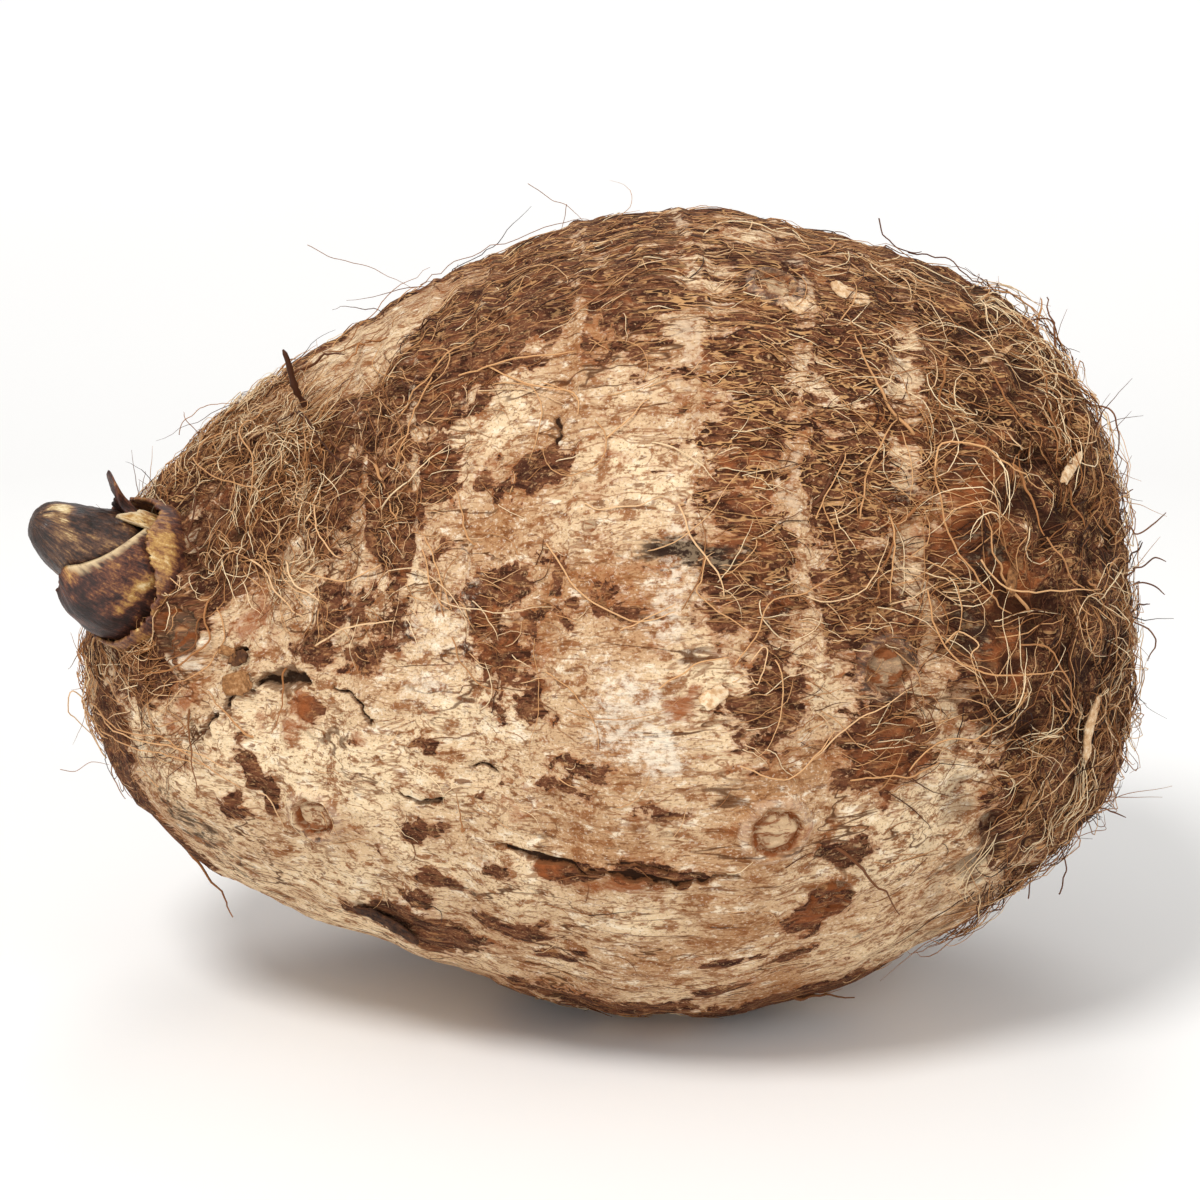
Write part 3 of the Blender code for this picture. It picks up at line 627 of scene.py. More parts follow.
# The CAD's relief with the finer one: crust plates, ring edges, wrinkles and cracks
def reliefHeight(ring, places, fields):
    relief, vary = fineRelief, fields["noises"]
    everywhere, ringed = relief["ridges"]
    height = baseHeight(ring, places, everywhere + ringed * fields["ringed"])
    plates = smoothStep(*relief["plateEdge"], fields["crust"] + 0.25 * vary["plates"])
    grain = np.stack([lengthAt(ring) * relief["wrinkleStretch"], places[:, 1], places[:, 2]], axis=1)
    wrinkles = noiseOf(grain, *relief["wrinkleNoise"])
    everywhere, onPlates = relief["wrinkles"]
    height += relief["plates"] * plates + (everywhere + onPlates * plates) * wrinkles
    height += relief["bumps"] * vary["bumps"]
    height += relief["scars"] * fields["scar"] + relief["mat"] * fields["mat"] * vary["mat"]
    return height - fields["crack"] + fields["budHeight"]


# The skin's mesh

skinMesh = {
    "segments": 352,
    "rowsInRing": (10, 6, 8, 11, 12, 12, 14, 14, 14, 14, 14, 16, 30),
    "ringCrowding": 0.06,  # rows crowd to the rings and, by these powers, to the two ends
    "endCrowding": (1.7, 1.8),
    "fineLevels": 2,  # finer near the cracks and buds: within these shares of their width and radius
    "fineNear": (3.4, 1.9),
    "fineShrink": 0.3,
}


def rowRings():
    rows = [0.0]
    atShoot, atRootEnd = skinMesh["endCrowding"]
    for ring, count in enumerate(skinMesh["rowsInRing"]):
        for k in range(1, count + 1):
            t = k / count
            if ring == 0:
                t = t ** atShoot
            elif ring == lastRing - 1:
                t = 1.0 - (1.0 - t) ** atRootEnd
            else:
                t -= skinMesh["ringCrowding"] * math.sin(math.tau * t)
            rows.append(ring + t)
    return np.array(rows)


# Fields that the material reads, three to an attribute, where the very last only fills up
skinAttributes = {
    "paint": ("crust", "powder", "scar"),
    "stain": ("orange", "grey", "nearCrack"),
    "broad": ("tone", "rusty", "busy"),
    # shadeAndStreaks holds the painted shade of the mat hollows, the groove lines and the streakiness
    "shadeAndStreaks": ("hollowShade", "grooved", "streaky"),
    "bud": ("bud", "budBrown", "mat"),
}


def cormSkinMesh():
    rows = rowRings()
    bm = bmesh.new()
    bm.loops.layers.uv.new("OFBake")
    bmesh.ops.create_uvsphere(bm, u_segments=skinMesh["segments"], v_segments=len(rows) - 1, radius=1.0,
                              calc_uvs=True)
    names = ("ring", "across", "upward")
    layers = [bm.verts.layers.float.new(name) for name in names]
    for vert in bm.verts:
        row = round(math.acos(min(max(vert.co.z, -1.0), 1.0)) / math.pi * (len(rows) - 1))
        radius = max(math.hypot(vert.co.x, vert.co.y), 1e-9)
        for layer, value in zip(layers, (rows[row], vert.co.x / radius, vert.co.y / radius)):
            vert[layer] = value
    nearCrack, nearBud = skinMesh["fineNear"]
    for level in range(skinMesh["fineLevels"]):
        ring, across, upward = (np.array([vert[layer] for vert in bm.verts]) for layer in layers)
        angle = np.arctan2(upward, across)
        length, girth = lengthAt(ring), girthAt(ring)
        near = np.full(len(ring), 9.0)
        for points, halfWidth, _ in skinLayout["cracks"]:
            near = np.minimum(near, crackField(points, halfWidth, length, angle, girth))
        for budRing, budAngle, radius, _, _ in buds:
            turn = (angle - math.radians(budAngle) + math.pi) % math.tau - math.pi
            away = np.hypot(length - lengthAt(budRing), turn * girth) / radius
            near = np.minimum(near, nearBud * away)
        close = near < nearCrack / (1 + skinMesh["fineShrink"] * level)
        bm.verts.ensure_lookup_table()
        edges = [edge for edge in bm.edges if close[edge.verts[0].index] and close[edge.verts[1].index]]
        bmesh.ops.subdivide_edges(bm, edges=edges, cuts=1, use_grid_fill=True)
        bm.verts.index_update()
    bmesh.ops.triangulate(bm, faces=[face for face in bm.faces if len(face.verts) > 4])
    ring, across, upward = (np.array([vert[layer] for vert in bm.verts]) for layer in layers)
    angle = np.arctan2(upward, across)
    places, out, _, _ = plainSkin(ring, angle)
    fields = skinFields(ring, angle, places)
    places += out * reliefHeight(ring, places, fields)[:, None]
    places[:, 2] = np.maximum(places[:, 2], cormForm["underside"])
    for vert, place in zip(bm.verts, inPlace(places)):
        vert.co = place
    for name in names:
        bm.verts.layers.float.remove(bm.verts.layers.float[name])
    bmesh.ops.recalc_face_normals(bm, faces=bm.faces)
    mesh = meshFrom(bm, "cormSkin")
    addAttribute(mesh, "grain", np.stack([lengthAt(ring), places[:, 1], places[:, 2]], axis=1))
    for name, kept in skinAttributes.items():
        addAttribute(mesh, name, np.stack([fields[field] for field in kept], axis=1))
    return mesh


# Taro skin: dry cork-like skin, matt and powdery where it is cream, fibrous and rough where it is brown

taroSkin = {
    "tan": "#AA7C53",
    "cream": "#E6CBA4",
    "patterns": {  # stretch along the corm, size in mm, detail, roughness, distortion
        "mottle": (1.6, 1.9, 4.0, 0.7, 0.2),
        "grit": (1.1, 0.34, 1.0, 0.6, 0.0),
        "rust": (1.9, 1.7, 4.0, 0.66, 0.5),
        "vein": (4.2, 2.6, 3.0, 0.55, 0.6),
        "groove": (6.0, 5.5, 3.0, 0.55, 0.4),
        "islands": (3.2, 1.9, 4.0, 0.62, 0.3),
        "blots": (1.2, 2.5, 4.0, 0.62, 0.4),
        "bark": (4.5, 0.85, 3.0, 0.62, 0.3),
        "thread": (6.0, 1.25, 2.0, 0.5, 0.3),
        "flour": (1.3, 1.0, 4.0, 0.72, 0.2),
    },
    # Lines where a pattern passes a value
    "lines": {
        "veins": ("vein", 0.5),
        "grooves": ("groove", 0.5),
        "threads": ("thread", 0.5),
        "threadShade": ("thread", 0.545),
    },
    # Pattern, from, to, strength and colour of each layer
    "creamLayers": [
        ("mottle", 0.49, 0.37, 0.9, "#8E5A34"),
        ("mottle", 0.56, 0.67, 0.8, "#F0DFC4"),
        ("bark", 0.43, 0.34, 0.8, "#6B3C1C"),
        ("grit", 0.43, 0.3, 0.6, "#744727"),
        ("grit", 0.58, 0.7, 0.4, "#F0E0CA"),
        ("veins", 0.024, 0.006, 0.62, "#7E4A24"),
    ],
    "crust": "#6A402A",
    "crustLayers": [
        ("mottle", 0.53, 0.38, 0.9, "#3E2116"),
        ("mottle", 0.58, 0.7, 0.6, "#94643F"),
        ("bark", 0.49, 0.38, 0.85, "#2B140A"),
        ("bark", 0.57, 0.68, 0.75, "#AC7A4E"),
        ("flour", 0.58, 0.7, 0.75, "#C9A277"),
        ("grit", 0.6, 0.72, 0.4, "#C2966A"),
        ("grit", 0.4, 0.3, 0.5, "#261108"),
    ],
    # threadShade is a painted shadow line beside each thread
    "threadLayers": [
        ("threadShade", 0.034, 0.012, 0.85, "#2A1308"),
        ("threads", 0.026, 0.01, 0.85, "#C79966"),
    ],
    # Pattern, painted field that raises it, from, to, strength and colour: rust stains, flour-like powder,
    # scar strips and grey mould
    "stainLayers": [
        ("rust", "rusty", 0.5, 0.66, 0.45, "#94522B"),
        ("rust", "orange", 0.28, 0.52, 0.75, "#94522B"),
        ("flour", "powder", 0.37, 0.6, 0.66, "#F3E5CE"),
        ("flour", "scar", 0.38, 0.56, 0.75, "#D0B597"),
        ("bark", "grey", 0.42, 0.6, 0.85, "#33231A"),
        ("flour", "grey", 0.54, 0.66, 0.5, "#927C62"),
    ],
    "halo": "#94522B",
    "groove": "#54311A",
    # painted shade in the hollows of the matted ends
    "hollowShade": "#29130A",
    # From, to, strength and colour: brown inside a crack and, as painted shade, nearly black along its
    # middle
    "crackAndShadeLayers": [(1.1, 0.8, 0.7, "#6B4327"), (0.6, 0.3, 0.9, "#1E0F07")],
    "budTip": "#DDBF98",
    "budRust": "#7E4420",
    # Lines round a pale bud: share of its radius, reach, strength and colour
    "budLines": [(1.2, 0.24, 0.3, "#E2CCB4"), (0.82, 0.2, 1.2, "#7E4420")],
}


def taroSkinMaterial():
    look = taroSkin
    material, tree, shader = newMaterial("taroSkin", IOR=1.45, Specular_IOR_Level=0.12, Roughness=0.85)
    grain = add(tree, "Attribute", attribute_name="grain").outputs["Vector"]
    fields = {}
    for name, kept in skinAttributes.items():
        source = add(tree, "Attribute", attribute_name=name)
        fields.update(zip(kept, add(tree, "SeparateXYZ", source.outputs["Vector"]).outputs))
    streaky, bud, budBrown = fields["streaky"], fields["bud"], fields["budBrown"]
    patterns = addPatterns(tree, grain, look["patterns"])
    for name, (pattern, value) in look["lines"].items():
        away = add(tree, "Math", patterns[pattern], value, operation="SUBTRACT")
        patterns[name] = add(tree, "Math", away, operation="ABSOLUTE")

    # Brown crust: its islands follow the painted field, drawn out along the corm where it is streaky
    wander = add(tree, "Mix", streaky, patterns["blots"], patterns["islands"])
    shift = add(tree, "Math", wander, 0.5, operation="SUBTRACT")
    shift = add(tree, "Math", shift, fields["busy"], operation="MULTIPLY")
    frayed = add(tree, "Math", patterns["bark"], 0.5, -0.25, operation="MULTIPLY_ADD")
    frayed = add(tree, "Math", frayed, streaky, operation="MULTIPLY")
    edge = add(tree, "Math", fields["crust"], shift, operation="ADD")
    edge = add(tree, "Math", edge, frayed, operation="ADD")
    crustMask = add(tree, "MapRange", edge, 0.46, 0.53, 0.0, 1.0, interpolation_type="SMOOTHSTEP")
    halo = add(tree, "MapRange", edge, 0.3, 0.46, 0.0, 0.4, interpolation_type="SMOOTHSTEP")

    cream = add(tree, "Mix", fields["tone"], linear(look["tan"]), linear(look["cream"]), data_type="RGBA")
    cream = layColours(tree, cream, patterns, look["creamLayers"])
    cream = add(tree, "Mix", halo, cream, linear(look["halo"]), data_type="RGBA")
    groove = add(tree, "MapRange", patterns["grooves"], 0.014, 0.003, 0.0, 0.9,
                 interpolation_type="SMOOTHSTEP")
    groove = add(tree, "Math", groove, fields["grooved"], operation="MULTIPLY")
    cream = add(tree, "Mix", groove, cream, linear(look["groove"]), data_type="RGBA")
    bark = layColours(tree, linear(look["crust"]), patterns, look["crustLayers"])
    threaded = layColours(tree, bark, patterns, look["threadLayers"])
    threading = add(tree, "Math", streaky, 0.85, 0.15, operation="MULTIPLY_ADD")
    bark = add(tree, "Mix", threading, bark, threaded, data_type="RGBA")
    colour = add(tree, "Mix", crustMask, cream, bark, data_type="RGBA")

    # Stains: a painted field with a pattern's edge
    for pattern, field, low, high, strength, hexColour in look["stainLayers"]:
        lifted = add(tree, "Math", fields[field], 0.35, operation="MULTIPLY")
        lifted = add(tree, "Math", lifted, patterns[pattern], operation="ADD")
        lifted = add(tree, "Math", lifted, 0.35, operation="SUBTRACT")
        mask = add(tree, "MapRange", lifted, low, high, 0.0, strength, interpolation_type="SMOOTHSTEP")
        mask = add(tree, "Math", mask, fields[field], operation="MULTIPLY", use_clamp=True)
        colour = add(tree, "Mix", mask, colour, linear(hexColour), data_type="RGBA")

    # Buds: pale ones with a rusty groove round the tip, brown ones of bark
    inside = add(tree, "MapRange", bud, 1.05, 0.85, 0.0, 0.75, interpolation_type="SMOOTHSTEP")
    budColour = add(tree, "Mix", budBrown, linear(look["budTip"]), bark, data_type="RGBA")
    colour = add(tree, "Mix", inside, colour, budColour, data_type="RGBA")
    mottled = add(tree, "MapRange", patterns["rust"], 0.48, 0.6, 0.0, 1.2, interpolation_type="SMOOTHSTEP")
    mottled = add(tree, "Math", mottled, inside, operation="MULTIPLY")
    colour = add(tree, "Mix", mottled, colour, linear(look["budRust"]), data_type="RGBA")
    pale = add(tree, "Math", budBrown, -1.25, 1.0, operation="MULTIPLY_ADD", use_clamp=True)
    broken = add(tree, "MapRange", patterns["flour"], 0.4, 0.54, 0.2, 1.0)
    for middle, reach, strength, hexColour in look["budLines"]:
        away = add(tree, "Math", add(tree, "Math", bud, middle, operation="SUBTRACT"), operation="ABSOLUTE")
        line = add(tree, "MapRange", away, reach, reach * 0.3, 0.0, strength,
                   interpolation_type="SMOOTHSTEP")
        line = add(tree, "Math", line, broken, operation="MULTIPLY")
        line = add(tree, "Math", line, pale, operation="MULTIPLY")
        colour = add(tree, "Mix", line, colour, linear(hexColour), data_type="RGBA")

    # Cracks, with painted shade nearly black along their middles, and painted shade in the hollows of the
    # matted ends
    ragged = add(tree, "Math", patterns["mottle"], 0.5, operation="SUBTRACT")
    ragged = add(tree, "Math", ragged, 2.2, fields["nearCrack"], operation="MULTIPLY_ADD")
    for low, high, strength, hexColour in look["crackAndShadeLayers"]:
        mask = add(tree, "MapRange", ragged, low, high, 0.0, strength, interpolation_type="SMOOTHSTEP")
        colour = add(tree, "Mix", mask, colour, linear(hexColour), data_type="RGBA")
    # painted shade in the hollows of the matted ends
    shaded = add(tree, "Math", fields["hollowShade"], 0.85, operation="MULTIPLY")
    colour = add(tree, "Mix", shaded, colour, linear(look["hollowShade"]), data_type="RGBA")

    height = add(tree, "Math", patterns["mottle"], 0.6, patterns["bark"], operation="MULTIPLY_ADD")
    height = add(tree, "Math", patterns["grit"], 0.3, height, operation="MULTIPLY_ADD")
    finishMaterial(tree, shader, colour.outputs[2], height, 0.85, 0.6)
    return material


# Hairs and rootlets: each runs over the skin from a root place, in steps, then stands off it a little

gridRings = np.linspace(0.03, lastRing - 0.03, 235)
gridTurns = 216


def makeSkinGrid():
    ring, angle = np.meshgrid(gridRings, np.arange(gridTurns) * math.tau / gridTurns, indexing="ij")
    ring, angle = ring.ravel(), angle.ravel()
    places, out, _, _ = plainSkin(ring, angle)
    fields = skinFields(ring, angle, places)
    places += out * reliefHeight(ring, places, fields)[:, None]
    places[:, 2] = np.maximum(places[:, 2], cormForm["underside"])
    crust = fields["crust"][:, None]
    return np.concatenate([places, out, crust], axis=1).reshape(len(gridRings), gridTurns, 7)


def onSkin(ring, angle):
    row = np.clip((ring - gridRings[0]) / (gridRings[1] - gridRings[0]), 0.0, len(gridRings) - 1.001)
    column = angle / math.tau * gridTurns
    rowShare, columnShare = (row % 1.0)[:, None], (column % 1.0)[:, None]
    row, column = row.astype(int), np.floor(column).astype(int) % gridTurns
    beside = (column + 1) % gridTurns
    near = skinGrid[row, column] * (1 - columnShare) + skinGrid[row, beside] * columnShare
    far = skinGrid[row + 1, column] * (1 - columnShare) + skinGrid[row + 1, beside] * columnShare
    value = near * (1 - rowShare) + far * rowShare
    return value[:, :3], unit(value[:, 3:6]), value[:, 6]


# Paths over the skin: headings has a column for each step, with 0 to the root end and 90 up in front
def walkOnSkin(ring, angle, headings, step):
    placed, outward = [], []
    for heading in headings.T:
        place, out, _ = onSkin(ring, angle)
        placed.append(place)
        outward.append(out)
        perRing = (onSkin(np.minimum(ring + 0.03, lastRing - 0.04), angle)[0] - place) / 0.03
        perTurn = (onSkin(ring, angle + 0.03)[0] - place) / 0.03
        along = unit(perRing)
        around = unit(np.cross(out, along))
        turn = step * np.sin(heading) / np.maximum(np.sum(perTurn * around, axis=1), 2.5)
        drift = turn * np.sum(perTurn * along, axis=1)
        advance = (step * np.cos(heading) - drift) / np.maximum(np.linalg.norm(perRing, axis=1), 1.0)
        ring = np.clip(ring + advance, gridRings[0], gridRings[-1] - 0.05)
        angle = angle + turn
    return np.stack(placed, axis=1), np.stack(outward, axis=1)


# How the strands of a lock part from each other, and how all strands lie
strandHabit = {
    "lock": (0.07, 1.1, 0.3, 0.35),  # rings, mm round the corm, heading and bend in radians
    "crustNoise": 0.08,
    "wave": 0.06,
    "least": 0.06,  # mm off the skin, and off the ground
    "offGround": 0.15,
    "rooted": -0.3,
    "taper": ((0.0, 0.6, 1.0), (1.0, 0.85, 0.35)),
}


# Centre lines, thicknesses and tones of one family of hairs
def strandRows(draw, given):
    habit = strandHabit
    count, points, lock = given["count"], given["points"], given["lock"]
    locks = math.ceil(count / lock)
    ring = draw.uniform(*given["rings"], locks)
    if given["fromRing"]:
        ring = np.round(ring) + 0.02 + 0.1 * draw.random(locks) ** 2
    angle = np.radians(draw.uniform(*given["angles"], locks))
    heading = np.radians(draw.normal(given["heading"], given["spread"], locks))
    if given["bothWays"]:
        heading += math.pi * (draw.random(locks) < 0.5)
    bend = np.radians(draw.normal(0.0, given["bend"], locks))
    lockTone = draw.normal(given["tone"], given["toneSpread"] * 0.6, locks)
    perLock = (ring, angle, heading, bend, lockTone)
    ring, angle, heading, bend, lockTone = (np.repeat(value, lock)[:count] for value in perLock)
    if lock > 1:
        ringSpread, widthSpread, headingSpread, bendSpread = habit["lock"]
        ring = np.clip(ring + draw.normal(0.0, ringSpread, count), 0.1, lastRing - 0.1)
        angle = angle + draw.normal(0.0, widthSpread, count) / girthAt(ring)
        heading = heading + draw.normal(0.0, headingSpread, count)
        bend = bend + draw.normal(0.0, bendSpread, count)
    length = draw.uniform(*given["length"], count)
    kept = onSkin(ring, angle)[2] + draw.normal(0.0, habit["crustNoise"], count) > given["onCrust"]
    wiggle = np.radians(draw.normal(0.0, given["wiggle"], (count, points)))
    share = np.linspace(0.0, 1.0, points)
    headings = heading[:, None] + bend[:, None] * share + np.cumsum(wiggle, axis=1)
    places, out = walkOnSkin(ring, angle, headings, length / (points - 1))
    arch = draw.uniform(*given["arch"], count)[:, None]
    lift = arch * np.sin(math.pi * share) ** 0.7
    lift += draw.uniform(*given["tip"], count)[:, None] * share ** 2.5
    lift += np.cumsum(draw.normal(0.0, habit["wave"], (count, points)), axis=1) * arch
    lift = np.maximum(lift, habit["least"])
    lift[:, 0] = habit["rooted"]
    places = places + out * lift[:, :, None]
    places[:, :, 2] = np.maximum(places[:, :, 2], cormForm["underside"] + habit["offGround"])
    thickness = draw.uniform(*given["thickness"], count)[:, None] * np.interp(share, *habit["taper"])
    lowest, highest = given["arch"]
    higher = (arch[:, 0] - lowest) / max(highest - lowest, 0.01) - 0.5
    # Painted shade: hairs that stand lower are darker, those that stand higher lighter
    tones = lockTone + draw.normal(0.0, given["toneSpread"] * 0.8, count) + given["shadeByHeight"] * higher
    kept &= np.linalg.norm(np.diff(places, axis=1), axis=2).min(axis=1) > 0.05
    return places[kept], thickness[kept], np.clip(tones[kept], 0.0, 1.0)


# Strands closed at both ends, from (places, thicknesses, tones) of several families
def strandPiece(name, rows, sides, material, slot, *nodes):
    rim = bpy.data.curves.new("strandRim", "CURVE")
    side = rim.splines.new("POLY")
    side.points.add(sides - 1)
    for i, point in enumerate(side.points):
        point.co = (math.cos(math.tau * i / sides), math.sin(math.tau * i / sides), 0.0, 1.0)
    side.use_cyclic_u = True
    rimObject = bpy.data.objects.new("strandRim", rim)
    curve = bpy.data.curves.new(name, "CURVE")
    curve.dimensions = "3D"
    curve.bevel_mode = "OBJECT"
    curve.bevel_object = rimObject
    tones, shares = [], []
    for places, thickness, familyTones in rows:
        count = places.shape[1]
        ends = np.ones((count, 1))
        for row, radii in zip(inPlace(places), thickness * mm):
            spline = curve.splines.new("POLY")
            spline.points.add(count - 1)
            spline.points.foreach_set("co", np.hstack([row, ends]).ravel())
            spline.points.foreach_set("radius", radii)
        tones.append(np.repeat(familyTones, count * sides))
        shares.append(np.tile(np.repeat(np.linspace(0.0, 1.0, count), sides), len(familyTones)))
    tones, shares = np.concatenate(tones), np.concatenate(shares)
    curveObject = addToScene(name, curve)
    depsgraph = bpy.context.evaluated_depsgraph_get()
    mesh = bpy.data.meshes.new_from_object(curveObject.evaluated_get(depsgraph))
    for used in (curveObject, rimObject):
        bpy.data.objects.remove(used)
    for used in (curve, rim):
        bpy.data.curves.remove(used)
    bm = bmesh.new()
    bm.from_mesh(mesh)
    bmesh.ops.holes_fill(bm, edges=bm.edges, sides=sides)
    bmesh.ops.recalc_face_normals(bm, faces=bm.faces)
    bm.to_mesh(mesh)
    bm.free()
    addAttribute(mesh, "tone", tones)
    corners = np.zeros(len(mesh.loops), np.int32)
    mesh.loops.foreach_get("vertex_index", corners)
    corner = np.tile(np.arange(sides), len(tones) // sides) / (sides - 1)
    flat = np.stack([0.95 * tones + 0.05 * corner, shares], axis=1)
    mesh.uv_layers[0].name = "OFBake"
    mesh.uv_layers[0].uv.foreach_set("vector", flat[corners].astype(np.float32).ravel())
    print(name, len(mesh.polygons))
    return addPiece(name, mesh, material, slot, *nodes)


# A family of hairs: what isn't given is as here
def family(**given):
    plain = {
        "count": 100, "points": 8,
        "rings": (1.0, 12.0), "angles": (-60.0, 90.0),
        "length": (4.0, 9.0), "thickness": (0.06, 0.1),
        "heading": 0.0, "spread": 40.0, "bothWays": False,  # degrees
        "bend": 60.0, "wiggle": 10.0,
        "arch": (0.05, 0.6), "tip": (0.0, 0.5),  # how far the middle and the tip stand off the skin
        # shadeByHeight paints low-lying hairs darker and high-standing ones lighter
        "tone": 0.6, "toneSpread": 0.2, "shadeByHeight": 0.3,
        "lock": 1,  # hairs that run together
        "fromRing": False, "onCrust": -9.0,  # grows past a ring, and only where there is this much crust
    }
    return {**plain, **given}


# Root hairs and leaf fibres: dry, slightly shiny plant fibre from dark brown to straw
def fibreMaterial():
    material, tree, shader = newMaterial("dryFibre", Roughness=0.6, Specular_IOR_Level=0.22)
    tone = add(tree, "Attribute", attribute_name="tone").outputs["Fac"]
    ramp = add(tree, "ValToRGB", tone)
    colours = ramp.color_ramp
    colours.elements[0].color, colours.elements[1].color = linear("#2C140A"), linear("#EFD5AC")
    for position, colour in ((0.28, "#5E341A"), (0.52, "#9E683B"), (0.78, "#D2A06D")):
        colours.elements.new(position).color = linear(colour)
    tree.links.new(ramp.outputs[0], shader.inputs["Base Color"])
    return material


skinGrid = makeSkinGrid()
print("skin grid ready")

# In each mat the low-lying families are darker than the high-standing ones, partly as painted shade under
# the top hairs
stemMat = {
    "seed": 21,
    "families": [
        family(count=620, rings=(0.9, 3.3), angles=(14, 112), length=(3, 8), spread=65, bend=60, wiggle=17,
               arch=(0.1, 0.8), tone=0.5, toneSpread=0.26, lock=5, thickness=(0.045, 0.085)),
        family(count=420, rings=(0.9, 3.1), angles=(16, 112), length=(4, 10), spread=55, bend=80, wiggle=15,
               arch=(0.3, 1.4), tone=0.76, toneSpread=0.24, tip=(0, 1.2), lock=4, thickness=(0.045, 0.085)),
        family(count=460, rings=(2.6, 4.8), angles=(12, 80), length=(3, 8), spread=60, bend=60, wiggle=16,
               arch=(0.1, 0.9), tone=0.54, toneSpread=0.26, tip=(0, 0.6), lock=4, onCrust=0.36,
               thickness=(0.04, 0.08)),
        family(count=560, rings=(0.8, 3.4), angles=(112, 255), length=(4, 11), spread=65, bend=80,
               arch=(0.1, 1.0), tone=0.55, toneSpread=0.24, tip=(0, 0.8), lock=4),
        family(count=200, rings=(0.9, 2.4), angles=(-85, -35), length=(4, 10), heading=-100, spread=25,
               bend=40, arch=(0.05, 0.4), tone=0.62, toneSpread=0.24, tip=(0, 0.4), lock=2,
               thickness=(0.05, 0.08)),
        family(count=70, rings=(0.62, 1.05), angles=(-80, 10), length=(3, 8), heading=-90, spread=60,
               bend=150, arch=(0.3, 1.2), tone=0.82, toneSpread=0.16, tip=(0, 0.8), lock=3),
    ],
}
rootMat = {
    "seed": 22,
    "families": [
        family(count=560, points=9, rings=(10.8, 12.85), angles=(-50, 80), length=(4, 11), heading=90,
               spread=55, bothWays=True, bend=110, arch=(0.1, 1.2), tone=0.36, toneSpread=0.28,
               tip=(-0.2, 1.0), lock=9),
        family(count=400, points=9, rings=(10.5, 12.8), angles=(-50, 82), length=(5, 14), heading=90,
               spread=60, bothWays=True, bend=100, arch=(0.5, 2.2), tone=0.64, toneSpread=0.34,
               tip=(-0.2, 2.2), lock=5),
        family(count=750, points=9, rings=(10.4, 12.85), angles=(80, 310), length=(6, 16), heading=90,
               spread=70, bothWays=True, bend=110, arch=(0.2, 2.0), tone=0.46, toneSpread=0.26,
               tip=(-0.2, 1.8), lock=7),
        family(count=260, points=9, rings=(9.3, 10.6), angles=(-40, 84), length=(5, 13), heading=0,
               spread=55, bend=80, arch=(0.1, 1.0), tone=0.6, toneSpread=0.24, tip=(0, 0.8), lock=3,
               onCrust=0.34),
    ],
}
bodyHairs = {
    "seed": 23,
    "families": [
        family(count=900, points=8, rings=(7.9, 10.3), angles=(-18, 66), length=(2.5, 7), spread=10,
               bend=20, wiggle=13, arch=(0.02, 0.14), tone=0.6, toneSpread=0.26, onCrust=0.42,
               thickness=(0.06, 0.09)),
        family(count=420, points=7, rings=(4.6, 8.0), angles=(-8, 80), length=(2, 6), spread=16, bend=40,
               wiggle=16, arch=(0.02, 0.25), tone=0.64, toneSpread=0.2, onCrust=0.42,
               thickness=(0.05, 0.09)),
        family(count=300, points=7, rings=(4, 10.4), angles=(5, 88), length=(2, 6), spread=12, bend=25,
               wiggle=16, fromRing=True, arch=(0.02, 0.25), tone=0.66, toneSpread=0.18, onCrust=0.4),
        family(count=260, points=7, rings=(6.0, 10.2), angles=(62, 92), length=(2, 7), spread=24, bend=40,
               arch=(0.02, 0.4), tone=0.45, toneSpread=0.25, onCrust=0.4),
        family(count=70, points=7, rings=(3.5, 10.0), angles=(-55, -8), length=(3, 8), spread=30, bend=70,
               arch=(0.02, 0.2), tone=0.62, toneSpread=0.25, thickness=(0.05, 0.08)),
        family(count=1000, points=6, rings=(3.4, 10.6), angles=(92, 300), length=(2.5, 8), spread=24,
               bend=50, arch=(0.02, 0.35), tone=0.6, toneSpread=0.24, onCrust=0.36),
        family(count=46, points=14, rings=(4, 10.4), angles=(0, 85), length=(8, 18), spread=60, bend=110,
               wiggle=8, arch=(0.1, 0.8), tone=0.8, toneSpread=0.12, thickness=(0.08, 0.12)),
        family(count=16, points=16, rings=(2.0, 8.5), angles=(80, 98), length=(7, 19), spread=50, bend=90,
               wiggle=7, arch=(0.2, 1.5), tip=(1.5, 5.0), tone=0.4, toneSpread=0.2, thickness=(0.05, 0.08)),
        family(count=44, points=14, rings=(10.9, 12.9), angles=(-60, 250), length=(5, 10), spread=180,
               bend=90, wiggle=9, arch=(0.2, 0.8), tip=(3.5, 7.5), tone=0.35, toneSpread=0.2,
               thickness=(0.06, 0.1)),
        family(count=14, points=12, rings=(0.9, 2.6), angles=(100, 250), length=(5, 9), spread=90, bend=90,
               wiggle=9, arch=(0.2, 0.8), tip=(2.0, 5.5), tone=0.4, toneSpread=0.2, thickness=(0.05, 0.08)),
    ],
}


def addHair(material):
    for name, hair in (("stemMat", stemMat), ("rootMat", rootMat), ("bodyHairs", bodyHairs)):
        draw = np.random.default_rng(hair["seed"])
        rows = [strandRows(draw, given) for given in hair["families"]]
        strandPiece(name, rows, 3, material, "corm_skin", "corm")


# Rootlets where the CAD has them, and the dark dried root that stands up behind the shoot

